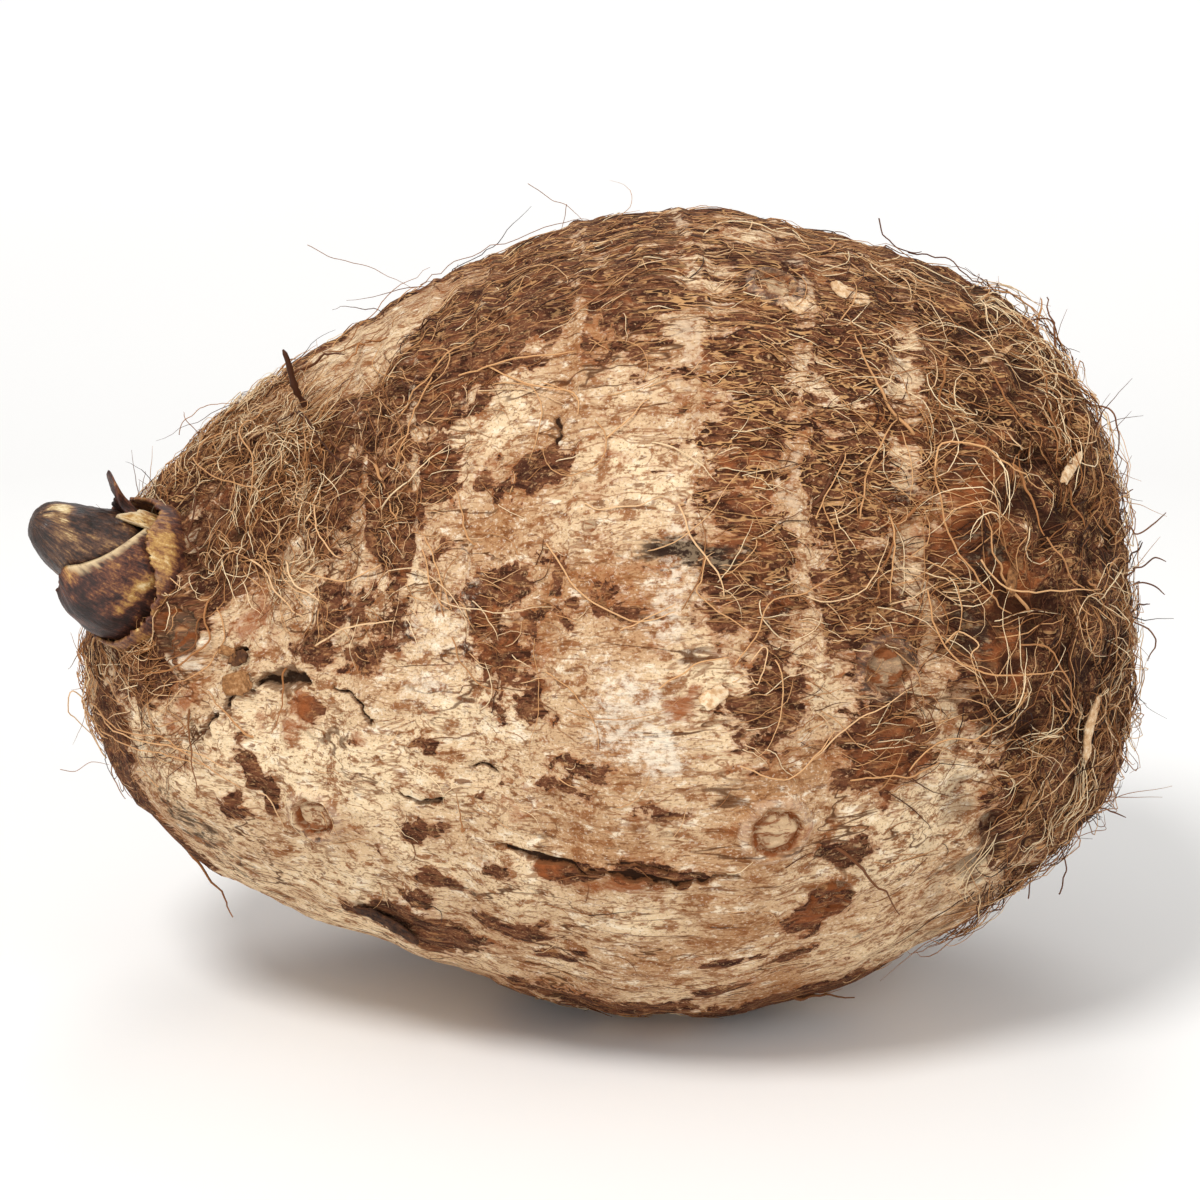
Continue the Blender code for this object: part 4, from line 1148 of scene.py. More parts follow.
rootlets = {
    "seed": 11,
    "count": 66,
    "rootEnd": (0.62, 10.3, 12.7),  # share that grows there, and from and to which rings
    "ringed": (2, 10, 0.05),  # the others grow this far past one of these rings
    "reach": (0.8, 17.0),  # rings and degrees
    "standOff": 4.5,
    "furthest": 12.85,
    "least": 8.0,
    "clearance": 2.5,
    "lift": 0.45,
    "rooted": -1.6,
    "sway": 0.9,
    "radii": (0.26, 0.19, 0.08),
    "thinOnPale": 0.6,
    "tones": (0.2, 0.72),
}
spike = {
    "place": (3.1, 72.0),
    "length": 9.0,
    "lean": 0.25,
    "bend": 0.04,
    "radii": [
        (-0.2, 0.8), (0.0, 0.62), (0.25, 0.46), (0.5, 0.48), (0.65, 0.38), (0.8, 0.32), (0.9, 0.4),
        (1.0, 0.12),
    ],
    "tone": 0.1,
}


# Single long hairs that catch the eye: thickness, tone and (ring, angle, lift) points
longHairs = {
    "points": 20,
    "lift": 0.3,
    "sway": 0.35,
    "hairs": [
        (0.16, 0.14, [(2.9, 70, 0.7), (2.43, 69, 0.5), (1.82, 67, 0.3), (1.36, 68, 0)]),
        (0.16, 0.16, [(2.95, 69, 0.8), (3.08, 61, 0.5), (3.43, 58, 0.4), (3.77, 54, 0.2), (4.33, 48, 0)]),
        (0.12, 0.22, [(2.9, 67, 0.5), (2.78, 60, 0.4), (2.91, 51, 0)]),
        (0.13, 0.12, [(3.0, 68, 0.9), (3.21, 55, 0.5), (3.66, 45, 0.4), (4.31, 40, 0)]),
        (0.15, 0.55, [(1.4, 1, 0.2), (1.61, -8, 0.3), (1.8, -14, 0.3), (1.8, -27, 0.3), (1.7, -41, 0.2),
                      (1.6, -55, 0)]),
        (0.12, 0.4, [(1.5, -3, 0.1), (1.59, -11, 0.2), (1.73, -19, 0.2), (1.7, -29, 0.1), (1.6, -42, 0)]),
        (0.1, 0.72, [(1.6, -1, 0), (1.9, -9, 0.2), (1.99, -24, 0.2), (1.82, -42, 0)]),
        (0.11, 0.8, [(6.74, 25, 0.2), (7.04, 19, 0), (7.29, 16, 0), (7.6, 14, 0), (7.86, 15, 0)]),
        (0.13, 0.85, [(7.85, 29, 0.2), (7.96, 25, 0.3), (8.1, 22, 0), (8.25, 19, 0), (8.25, 17, 0)]),
        (0.09, 0.75, [(8.1, 22, 0), (8.06, 19, 0), (8.05, 17, 0), (8.34, 13, 0.4), (8.5, 12, 0)]),
        (0.1, 0.72, [(8.3, 8, 0), (8.45, 11, 0), (8.6, 16, 0.3), (8.94, 17, 0), (9.3, 20, 0)]),
        (0.09, 0.85, [(8.42, 8, 0), (8.5, 10, 0.2), (8.54, 9, 0.3), (8.45, 5, 0.2), (8.4, 6, 0)]),
        (0.1, 0.8, [(7.16, 39, 0), (7.34, 41, 0), (7.52, 44, 0)]),
        (0.08, 0.78, [(6.64, 49, 0), (6.84, 47, 0), (6.94, 45, 0)]),
        (0.1, 0.86, [(7.04, 30, 0), (7.17, 29, 0), (7.46, 29, 0), (7.7, 30, 0)]),
        (0.09, 0.74, [(9.1, 27, 0), (9.16, 29, 0.2), (9.34, 35, 0.3), (9.35, 37, 0)]),
        (0.1, 0.66, [(9.16, 29, 0), (9.2, 27, 0), (9.25, 25, 0), (9.25, 21, 0)]),
        (0.09, 0.8, [(7.45, 13, 0), (7.6, 14, 0), (7.88, 16, 0)]),
        (0.1, 0.76, [(7.77, 5, 0), (8.0, 8, 0.2), (8.26, 9, 0)]),
        (0.13, 0.85, [(1.64, 19, 0.3), (2.42, 14, 0.8), (3.14, 11, 0)]),
        (0.13, 0.9, [(2.47, 22, 0.3), (3.01, 18, 0.7), (3.4, 16, 0)]),
        (0.12, 0.88, [(3.53, 6, 0), (3.8, 10, 0.5), (4.2, 13, 0.8), (4.7, 14, 0)]),
        (0.11, 0.7, [(5.21, 57, 0.2), (4.99, 50, 0.5), (4.8, 46, 0.4), (4.49, 41, 0)]),
        (0.1, 0.75, [(5.11, 28, 0), (5.45, 22, 0.4), (5.7, 16, 0)]),
        (0.1, 0.75, [(5.05, 26, 0), (5.29, 20, 0.5), (5.65, 16, 0)]),
        (0.11, 0.82, [(3.1, 38, 0.6), (3.2, 32, 1.0), (3.51, 26, 0.8), (3.66, 25, 0.4)]),
        (0.1, 0.8, [(4.31, 24, 0.2), (3.85, 21, 0.6), (3.35, 21, 0.7), (2.84, 22, 0.3)]),
        (0.13, 0.25, [(0.8, 73, 0.6), (0.7, 37, 1.4), (0.93, 19, 1.2), (1.16, 12, 0.4)]),
        (0.1, 0.72, [(2.44, 82, 0.6), (1.65, 74, 1.2), (1.28, 54, 1.4), (1.16, 38, 0.8)]),
        (0.1, 0.68, [(1.7, 87, 0.8), (1.1, 82, 1.4), (0.9, 53, 1.6), (1.45, 39, 0.8)]),
        (0.11, 0.7, [(4.61, 51, 0), (4.99, 55, 0.4), (5.52, 60, 0.5), (6.24, 62, 0.2)]),
        (0.12, 0.74, [(5.75, 55, 0), (6.36, 54, 0.4), (6.94, 53, 0)]),
        (0.12, 0.76, [(6.15, 55, 0), (6.55, 49, 0.3), (6.91, 46, 0.3), (6.94, 43, 0)]),
        (0.1, 0.3, [(3.35, 58, 0.3), (3.56, 49, 0.8), (4.05, 43, 0.7), (4.5, 37, 0.3)]),
        (0.1, 0.6, [(5.73, 12, 0), (5.9, 8, 0), (6.14, 5, 0), (6.46, 5, 0)]),
        (0.13, 0.78, [(10.1, 35, 0.3), (10.16, 39, 1.0), (10.46, 39, 1.4), (10.76, 37, 1.2),
                      (11.32, 36, 0.4)]),
        (0.12, 0.72, [(9.71, 28, 0.2), (9.74, 23, 0.6), (9.64, 15, 0.2)]),
        (0.12, 0.7, [(9.46, 27, 0), (9.54, 33, 0.3), (9.66, 39, 0.4), (9.8, 43, 0)]),
        (0.13, 0.66, [(10.1, 35, 0.4), (10.14, 29, 0.9), (10.3, 22, 1.2), (10.62, 16, 1.0),
                      (10.84, 14, 0.5)]),
        (0.12, 0.8, [(10.5, 22, 0.6), (10.79, 18, 1.2), (11.39, 19, 1.6), (12.12, 22, 1.2)]),
        (0.1, 0.82, [(10.06, 9, 0.5), (10.21, 11, 0.9), (10.35, 9, 1.0), (10.24, 7, 0.8), (10.3, 2, 0.3)]),
        (0.12, 0.7, [(10.0, 17, 0.3), (10.0, 10, 0.8), (10.26, 5, 1.2), (10.9, 4, 1.4), (11.51, 4, 0.8)]),
        (0.12, 0.62, [(11.31, 28, 1.0), (11.62, 22, 1.6), (11.85, 21, 1.0)]),
        (0.1, 0.84, [(8.84, -7, 0), (9.04, -4, 0.3), (9.25, -1, 0.4), (9.74, 3, 0.1)]),
        (0.1, 0.8, [(8.32, -6, 0), (8.65, -9, 0.1), (8.88, -6, 0.2), (9.05, -3, 0)]),
        (0.1, 0.74, [(9.65, -11, 0), (9.96, -7, 0.4), (10.34, -7, 0.6), (10.6, -4, 0.3)]),
        (0.12, 0.58, [(10.85, 9, 0.5), (11.21, 8, 1.2), (11.5, -1, 1.4), (11.47, -8, 0.7)]),
        (0.12, 0.68, [(9.16, -11, 0), (9.43, -11, 0.2), (9.74, -12, 0.4), (9.96, -11, 0.1)]),
        (0.13, 0.5, [(10.76, 55, 0.6), (11.03, 48, 1.2), (11.45, 47, 1.4), (11.56, 42, 0.8)]),
        (0.1, 0.8, [(1.96, -109, 0.2), (2.0, -95, 0.5), (2.1, -65, 0.7), (2.4, -46, 0.5), (2.82, -37, 0)]),
        (0.1, 0.7, [(1.88, -109, 0.8), (2.0, -87, 0.4), (2.1, -59, 0.5), (2.55, -44, 0.4), (2.99, -40, 0)]),
        (0.09, 0.75, [(2.1, -108, 0.1), (2.1, -77, 0.4), (2.3, -55, 0.4), (2.66, -42, 0)]),
        (0.1, 0.85, [(2.34, -106, 0), (2.12, -109, 1.3), (1.85, -109, 1.8), (1.75, -109, 3.2),
                     (1.9, -110, 3.9), (2.02, -109, 2.4), (2.32, -108, 0)]),
        (0.05, 0.5, [(2.3, -109, 6.5), (2.37, -109, 4.4), (2.34, -108, 2.2), (2.38, -105, 0)]),
        (0.09, 0.85, [(3.21, -36, 0), (3.4, -35, 0.3), (3.56, -40, 0)]),
        (0.05, 0.45, [(4.0, 101, 12.3), (4.2, 101, 8.6), (4.42, 101, 4.8), (4.7, 97, 0)]),
        (0.06, 0.45, [(4.8, 97, 0.2), (5.4, 97, 0.7), (6.1, 95, 0.8), (6.8, 96, 0.7), (7.1, 95, 0.2)]),
        (0.05, 0.45, [(6.65, 97, 6.7), (6.8, 98, 4.2), (6.95, 97, 2.3), (7.03, 94, 0)]),
        (0.05, 0.4, [(6.95, 97, 2.5), (6.8, 95, 0)]),
        (0.06, 0.55, [(1.95, 121, 2.2), (2.1, 117, 3.3), (2.4, 112, 2.4), (2.5, 97, 0.6)]),
        (0.06, 0.5, [(2.07, 118, 0), (2.0, 115, 2.8), (2.1, 117, 4.3)]),
        (0.1, 0.25, [(9.85, 95, 3.7), (10.0, 93, 0.8), (10.2, 93, 0.5), (10.3, 93, 1.2)]),
        (0.1, 0.3, [(10.2, 93, 0.4), (10.4, 94, 1.0), (10.6, 92, 1.0), (10.8, 90, 0.8), (11.22, 93, 0.6)]),
        (0.12, 0.3, [(11.58, 89, 0.2), (11.7, 89, 1.9), (11.9, 87, 1.6), (12.06, 82, 0.2)]),
        (0.13, 0.35, [(12.07, 74, 0.5), (12.23, 71, 1.4), (12.28, 67, 2.4), (12.4, 66, 2.0),
                      (12.52, 67, 0.5)]),
        (0.12, 0.3, [(12.4, 50, 0.2), (12.6, 58, 1.0), (12.65, 63, 2.4)]),
        (0.12, 0.35, [(12.49, 42, 0.2), (12.78, 55, 1.6), (12.8, 59, 3.9), (12.75, 59, 5.6)]),
        (0.13, 0.15, [(12.62, 35, 0.2), (12.8, 49, 0.8), (12.78, 51, 2.2)]),
        (0.12, 0.3, [(12.69, 35, 0.2), (12.88, 48, 1.6), (12.88, 52, 3.4), (12.9, 51, 4.9)]),
        (0.12, 0.3, [(12.75, 33, 0.2), (12.9, 41, 2.2), (12.9, 35, 4.2)]),
        (0.13, 0.15, [(12.7, 22, 0.2), (12.9, 31, 2.2)]),
        (0.12, 0.35, [(12.79, 21, 0.2), (12.88, 16, 1.8), (12.9, 7, 2.4), (12.8, -1, 2.6)]),
        (0.11, 0.3, [(12.04, -45, 0.2), (12.15, -54, 1.4), (12.18, -55, 3.3)]),
        (0.11, 0.3, [(11.25, -60, 5.0), (11.45, -59, 2.7), (11.6, -57, 0)]),
        (0.1, 0.3, [(10.98, -61, 3.0), (11.13, -61, 1.8), (11.32, -59, 0)]),
    ],
}


def longHairRows():
    count = longHairs["points"]
    paths, radii, tones = [], [], []
    for thickness, tone, points in longHairs["hairs"]:
        course = smoothCurve(points, closed=False)
        picked = np.linspace(0, len(course) - 1, count)
        ring, angle, lift = (np.interp(picked, np.arange(len(course)), column) for column in course.T)
        places, out, _ = onSkin(ring, np.radians(angle))
        sway = np.stack([noiseOf(places, 3.0, 2, shift) for shift in (3.0, 13.0, 23.0)], axis=1)
        places = places + out * (longHairs["lift"] + lift)[:, None] + longHairs["sway"] * sway
        paths.append(places)
        radii.append(thickness * np.interp(np.linspace(0.0, 1.0, count), (0.0, 0.7, 1.0), (1.0, 0.9, 0.5)))
        tones.append(tone)
    return np.array(paths), np.array(radii), np.array(tones)


def skinFrame(ring, angle):
    places, out, along, around = plainSkin(ring, angle)
    return places + out * baseHeight(ring, places)[:, None], out, along, around


def rootletRows():
    draw = random.Random(rootlets["seed"])
    endShare, endFrom, endTo = rootlets["rootEnd"]
    firstRing, finalRing, past = rootlets["ringed"]
    steps = np.linspace(0.0, 1.0, 6)
    paths, tones, widths = [], [], []
    while len(paths) < rootlets["count"]:
        atRootEnd = draw.random() < endShare
        ring = draw.uniform(endFrom, endTo) if atRootEnd else draw.randint(firstRing, finalRing) + past
        angle = draw.uniform(-180.0, 180.0)
        rings = draw.uniform(-1.0, 1.0) * rootlets["reach"][0]
        degrees = draw.uniform(-1.0, 1.0) * rootlets["reach"][1]
        standOff = rootlets["standOff"] * draw.random() ** 2
        run = np.minimum(ring + rings * steps, rootlets["furthest"])
        places, out, _, _ = skinFrame(run, np.radians(angle + degrees * steps ** 1.5))
        lift = np.where(steps > 0.0, rootlets["lift"] + standOff * steps ** 2, rootlets["rooted"])
        path = places + out * lift[:, None]
        longEnough = np.linalg.norm(path[-1] - path[0]) > rootlets["least"]
        if longEnough and path[:, 2].min() > cormForm["underside"] + rootlets["clearance"]:
            paths.append(smoothCurve(path, closed=False)[::4])
            crusty = np.clip(onSkin(run[:1], np.radians([angle]))[2][0] * 2.0, 0.0, 1.0)
            widths.append(rootlets["thinOnPale"] + (1.0 - rootlets["thinOnPale"]) * crusty)
            low, high = rootlets["tones"]
            tones.append(low + (high - low) * ((len(paths) * 0.618) % 1.0))
    paths = np.array(paths)
    count = paths.shape[1]
    sway = np.stack([noiseOf(paths.reshape(-1, 3), 3.0, 2, shift) for shift in (7.0, 17.0, 27.0)], axis=1)
    paths += rootlets["sway"] * sway.reshape(paths.shape) * np.linspace(0.0, 1.0, count)[None, :, None]
    radii = np.interp(np.linspace(0.0, 1.0, count), (0.0, 0.5, 1.0), rootlets["radii"])
    return paths, radii[None, :] * np.array(widths)[:, None], np.array(tones)


def spikeRow():
    ring, angle = spike["place"]
    places, out, along, _ = skinFrame(np.array([ring]), np.radians([angle]))
    lean = unit(out[0] + along[0] * spike["lean"])
    steps = np.linspace(-0.2, 1.0, 18)
    bend = along[0] * spike["length"] * spike["bend"]
    path = places[0] + lean * (spike["length"] * steps)[:, None] - bend * np.sin(steps * 5)[:, None]
    radii = np.interp(steps, *np.array(spike["radii"]).T) * (1.0 + 0.6 * noiseOf(path, 0.8, 2))
    return path[None, :, :], radii[None, :], np.array([spike["tone"]])


# Flakes of bark and slips of old root that lie on the skin

flakes = {
    "thickness": 0.28,
    "bend": 0.35,
    # Ring, angle, half length, half width, turn in degrees, lift and tone
    "places": [
        (8.9, 60.5, 2.2, 1.3, 20, 0.5, 0.86), (9.35, 65.5, 2.6, 1.5, -25, 0.6, 0.84),
        (8.15, 3.6, 1.7, 1.2, 35, 0.4, 0.88), (11.75, 43.0, 3.3, 0.75, 62, 1.6, 0.88),
        (10.9, 61.0, 3.4, 0.4, 50, 1.0, 0.8), (11.9, -12.0, 4.6, 0.9, 86, 1.8, 0.82),
        (2.5, -16.5, 2.5, 1.4, 50, 0.8, 0.52), (2.3, -10.5, 1.5, 0.9, 65, 0.5, 0.28),
        (2.1, -12.0, 1.4, 0.7, 20, 0.4, 0.5), (5.05, -50.0, 4.6, 1.3, -6, 0.7, 0.12),
        (11.1, -24.0, 3.0, 0.8, 30, 0.9, 0.62), (10.9, 20.0, 2.6, 0.8, 75, 1.0, 0.45),
        (11.4, 150.0, 3.6, 1.0, 40, 1.2, 0.7), (9.2, 140.0, 2.6, 1.5, -20, 0.5, 0.8),
        (6.4, 210.0, 3.0, 1.4, 10, 0.5, 0.4), (10.4, 235.0, 3.2, 0.8, 60, 0.9, 0.75),
        (3.6, 165.0, 2.4, 1.3, 25, 0.5, 0.65), (7.6, 118.0, 2.2, 1.2, -30, 0.5, 0.85),
    ],
}


def flakesMesh():
    bm = bmesh.new()
    toneLayer = bm.verts.layers.float.new("tone")
    for i, (ring, angle, halfLength, halfWidth, turn, lift, tone) in enumerate(flakes["places"]):
        place, out, along, around = (v[0] for v in skinFrame(np.array([ring]), np.radians([angle])))
        cosine, sine = math.cos(math.radians(turn)), math.sin(math.radians(turn))
        lengthways, across = along * cosine + around * sine, around * cosine - along * sine
        top = bmesh.ops.create_grid(bm, x_segments=16, y_segments=8, size=1.0)["verts"]
        for vert in top:
            vert[toneLayer] = tone
            u, v = vert.co.x, vert.co.y
            reach = math.sqrt(max(1.0 - 0.42 * v * v, 0.0)), math.sqrt(max(1.0 - 0.42 * u * u, 0.0))
            ragged = 1.0 + 0.3 * noise.noise((u * 1.4, v * 1.4, i * 3.7))
            ragged += 0.1 * noise.noise((u * 5, v * 5, i * 2.3))
            x, y = u * reach[0] * halfLength * ragged, v * reach[1] * halfWidth * ragged
            rise = lift + flakes["bend"] * (u * u - 0.4 * v * v) + 0.25 * noise.noise((x, y, i * 1.9))
            vert.co = Vector(place + lengthways * x + across * y + out * rise)
        faces = list({face for vert in top for face in vert.link_faces})
        lower = bmesh.ops.extrude_face_region(bm, geom=faces, use_keep_orig=True)["geom"]
        for vert in [element for element in lower if isinstance(element, bmesh.types.BMVert)]:
            vert.co -= Vector(out) * flakes["thickness"]
    for vert in bm.verts:
        vert.co = inPlace([vert.co])[0]
    bmesh.ops.recalc_face_normals(bm, faces=bm.faces)
    return meshFrom(bm, "flakes")


# Bark flake: thin dry cork and old root fibre, matt, with a fine lengthwise grain
def flakeMaterial():
    material, tree, shader = newMaterial("barkFlake", Roughness=0.8, Specular_IOR_Level=0.25)
    tone = add(tree, "Attribute", attribute_name="tone").outputs["Fac"]
    coordinates = add(tree, "TexCoord").outputs["Object"]
    grain = add(tree, "TexNoise", coordinates, Scale=1.0 / (0.7 * mm), Detail=5.0, Roughness=0.7)
    varied = add(tree, "Math", grain, 0.5, operation="SUBTRACT")
    varied = add(tree, "Math", varied, 1.1, tone, operation="MULTIPLY_ADD")
    ramp = add(tree, "ValToRGB", varied)
    colours = ramp.color_ramp
    colours.elements[0].color, colours.elements[1].color = linear("#22120B"), linear("#EBD3B0")
    for position, colour in ((0.3, "#5B3820"), (0.55, "#9C6C40"), (0.8, "#CFA67A")):
        colours.elements.new(position).color = linear(colour)
    finishMaterial(tree, shader, ramp.outputs[0], grain, 0.7, 0.3)
    return material


# Shoot and leaf bases: what is left of the cut stalks, measured along and round an axis that leaves the
# corm at its shoot end, with 0 degrees in front and 90 on top

shootStart = plainPoints(np.array([0.0]), np.array([0.0]))[0]
shootAxis, shootFront, shootUp = (way[0] for way in ringFrames(np.array([0.0]))[1:])

shootForm = {
    "foot": -4.2,
    "radii": [
        (-4.2, 5.7), (0.0, 6.1), (3.0, 6.2), (6.0, 5.9), (9.0, 5.2), (12.0, 4.2), (14.3, 3.2), (15.8, 2.5),
        (16.5, 1.6), (16.9, 0.0),
    ],
    "rise": 1.0,
    "sides": 120,
    "rows": 56,
    "dents": 0.35,
    "ribs": 0.13,
    # Lighter and darker places: angle, along, half width, half length, change of tone
    "patches": [(62, 14.6, 1.3, 1.9, 0.62), (30, 15.3, 1.3, 1.5, 0.36), (0, 14.0, 1.6, 2.0, 0.2),
                (50, 11.5, 3, 2.5, -0.12), (20, 8.5, 6, 4.0, 0.14), (100, 10, 4, 5, -0.1)],
    "tone": 0.22,
}
leafBases = {
    # Rim: angle, distance along the axis, radius at the foot and radius at the rim
    "leafBaseLower": {
        "node": "leaf_base_lower",
        "wall": 0.75,
        "rim": [
            (-170, 4.0, 6.8, 6.8), (-140, 6.0, 7.8, 7.4), (-112, 8.0, 8.8, 7.0), (-90, 9.4, 9.4, 6.2),
            (-72, 11.0, 9.1, 5.6), (-60, 11.8, 8.5, 5.2), (-50, 12.0, 8.0, 4.9), (-39, 11.6, 7.6, 4.8),
            (-15, 10.0, 7.4, 5.5), (9, 8.0, 7.2, 6.0), (33, 5.8, 7.1, 6.5), (63, 2.5, 7.0, 6.9),
            (76, 0.6, 6.9, 6.9),
        ],
        "bulge": 0.3,
        "closing": 5.0,
        "ragged": (0.5, -175, -55),
        "paleMargin": (-42, 80),
        "tone": 0.28,
        "patches": [(-8, 3.0, 1.4, 1.9, 0.4), (-24, 3.0, 1.6, 1.0, 0.36), (-38, 3.6, 2.2, 0.9, 0.3),
                    (-27, 6.5, 1.8, 1.5, 0.16), (-75, 5, 5, 5, -0.14), (10, 6.0, 2.5, 2.0, 0.06),
                    (-46, 11.2, 1.2, 1.0, 0.35)],
    },
    "leafBaseTorn": {
        "node": "leaf_base_torn",
        "wall": 0.55,
        "rim": [
            (58, 4.0, 6.7, 6.9), (68, 6.4, 6.7, 6.8), (76, 7.8, 6.7, 7.6), (83, 9.0, 6.7, 9.6),
            (89, 9.6, 6.7, 10.3), (95, 9.0, 6.7, 9.8), (102, 6.6, 6.7, 8.2), (112, 5.2, 6.7, 7.4),
            (124, 4.4, 6.8, 7.4), (140, 5.4, 6.9, 7.8), (160, 5.0, 6.9, 7.6), (182, 3.6, 6.9, 7.2),
        ],
        "bulge": -0.2,
        "closing": 3.0,
        "ragged": (0.6, 98, 185),
        "paleMargin": (0, 0),
        "tone": 0.24,
        "patches": [(70, 4.4, 0.9, 0.7, 0.45), (88, 8, 2, 2, 0.08)],
    },
    "leafBaseWedge": {
        "node": "leaf_base_wedge",
        "wall": 0.5,
        "rim": [
            (44, 0.8, 7.5, 7.5), (51, 4.2, 7.5, 7.0), (57, 8.0, 7.5, 6.2), (64, 6.4, 7.5, 6.9),
            (72, 4.6, 7.5, 7.2), (82, 3.4, 7.5, 7.4), (90, 1.0, 7.5, 7.5),
        ],
        "bulge": 0.1,
        "closing": 1.4,
        "ragged": (0.25, 60, 90),
        "paleMargin": (40, 95),
        "tone": 0.76,
        "patches": [(56, 5, 1.5, 1.2, 0.15), (80, 2, 2, 1.5, -0.1)],
    },
    "leafBaseCollar": {
        "node": "leaf_base_collar",
        "wall": 0.7,
        "rim": [
            (-145, 0.4, 9.3, 9.4), (-110, 1.0, 9.6, 9.9), (-75, 0.8, 9.9, 10.3), (-40, 0.8, 9.5, 10.0),
            (-12, 1.6, 9.2, 9.4), (8, 3.4, 9.0, 8.6), (24, 4.6, 8.9, 8.2), (40, 4.4, 8.8, 8.0),
            (56, 3.0, 8.8, 8.2), (75, 1.8, 8.9, 8.8), (110, 2.4, 9.0, 9.2), (140, 1.4, 9.0, 9.2),
            (170, 0.8, 9.0, 9.2),
        ],
        "bulge": 0.5,
        "closing": 1.4,
        "ragged": (0.55, -150, 175),
        "paleMargin": (0, 0),
        "tone": 0.5,
        "patches": [
            (20, 2.4, 2.4, 2.4, 0.22), (42, 3.2, 2, 2, 0.08), (10, 0.0, 4, 1.2, -0.22),
            (60, 0.4, 4, 1.2, -0.2),
        ],
    },
}


def roundShoot(along, angle, radius):
    away = np.cos(angle)[:, None] * shootFront + np.sin(angle)[:, None] * shootUp
    return shootStart + shootAxis * along[:, None] + away * radius[:, None]


def sheathTone(form, along, angle, radius):
    tone = np.full(len(along), form["tone"])
    for patchAngle, patchAlong, halfWidth, halfLength, change in form["patches"]:
        turn = (angle - math.radians(patchAngle) + math.pi) % math.tau - math.pi
        away = np.hypot(turn * radius / halfWidth, (along - patchAlong) / halfLength)
        tone += change * smoothStep(1.3, 0.6, away)
    return tone


def finishSheath(bm, name, places, lengthwise, tone, paleness):
    for vert, place in zip(bm.verts, inPlace(places)):
        vert.co = place
    bmesh.ops.recalc_face_normals(bm, faces=bm.faces)
    mesh = meshFrom(bm, name)
    addAttribute(mesh, "lengthwise", lengthwise)
    addAttribute(mesh, "look", np.stack([tone, paleness, np.zeros(len(tone))], axis=1))
    return mesh


# The shoot: a profile spun round, then dented and ribbed lengthwise
def shootMesh():
    bm = bmesh.new()
    alongs = np.linspace(shootForm["foot"], shootForm["radii"][-1][0], shootForm["rows"])
    profile = np.interp(alongs, *np.array(shootForm["radii"]).T)
    verts = [bm.verts.new((radius, 0.0, along)) for along, radius in zip(alongs, profile)]
    verts.insert(0, bm.verts.new((0.0, 0.0, shootForm["foot"])))
    edges = [bm.edges.new(pair) for pair in zip(verts, verts[1:])]
    bmesh.ops.spin(bm, geom=verts + edges, cent=(0, 0, 0), axis=(0, 0, 1), angle=math.tau,
                   steps=shootForm["sides"], use_merge=True)
    bmesh.ops.remove_doubles(bm, verts=bm.verts, dist=0.0001)
    spun = np.array([vert.co[:] for vert in bm.verts])
    along, radius = spun[:, 2], np.hypot(spun[:, 0], spun[:, 1])
    angle = np.arctan2(spun[:, 1], spun[:, 0])
    turning = np.stack([np.cos(angle), np.sin(angle), along / 7.0], axis=1)
    full = np.minimum(radius / 2.0, 1.0)
    radius = radius + full * shootForm["dents"] * noiseOf(turning, 0.8, 2, 3.0)
    radius += full * shootForm["ribs"] * noiseOf(turning * (1.0, 1.0, 0.35), 0.11, 2, 9.0)
    share = np.clip(along / 17.0, 0.0, 1.0)
    places = roundShoot(along, angle, radius) + shootUp * (shootForm["rise"] * share ** 2)[:, None]
    tone = sheathTone(shootForm, along, angle, np.full(len(along), 4.5))
    lengthwise = np.stack([along, np.cos(angle) * 5.0, np.sin(angle) * 5.0], axis=1)
    return finishSheath(bm, "driedShoot", places, lengthwise, tone, np.zeros(len(along)))


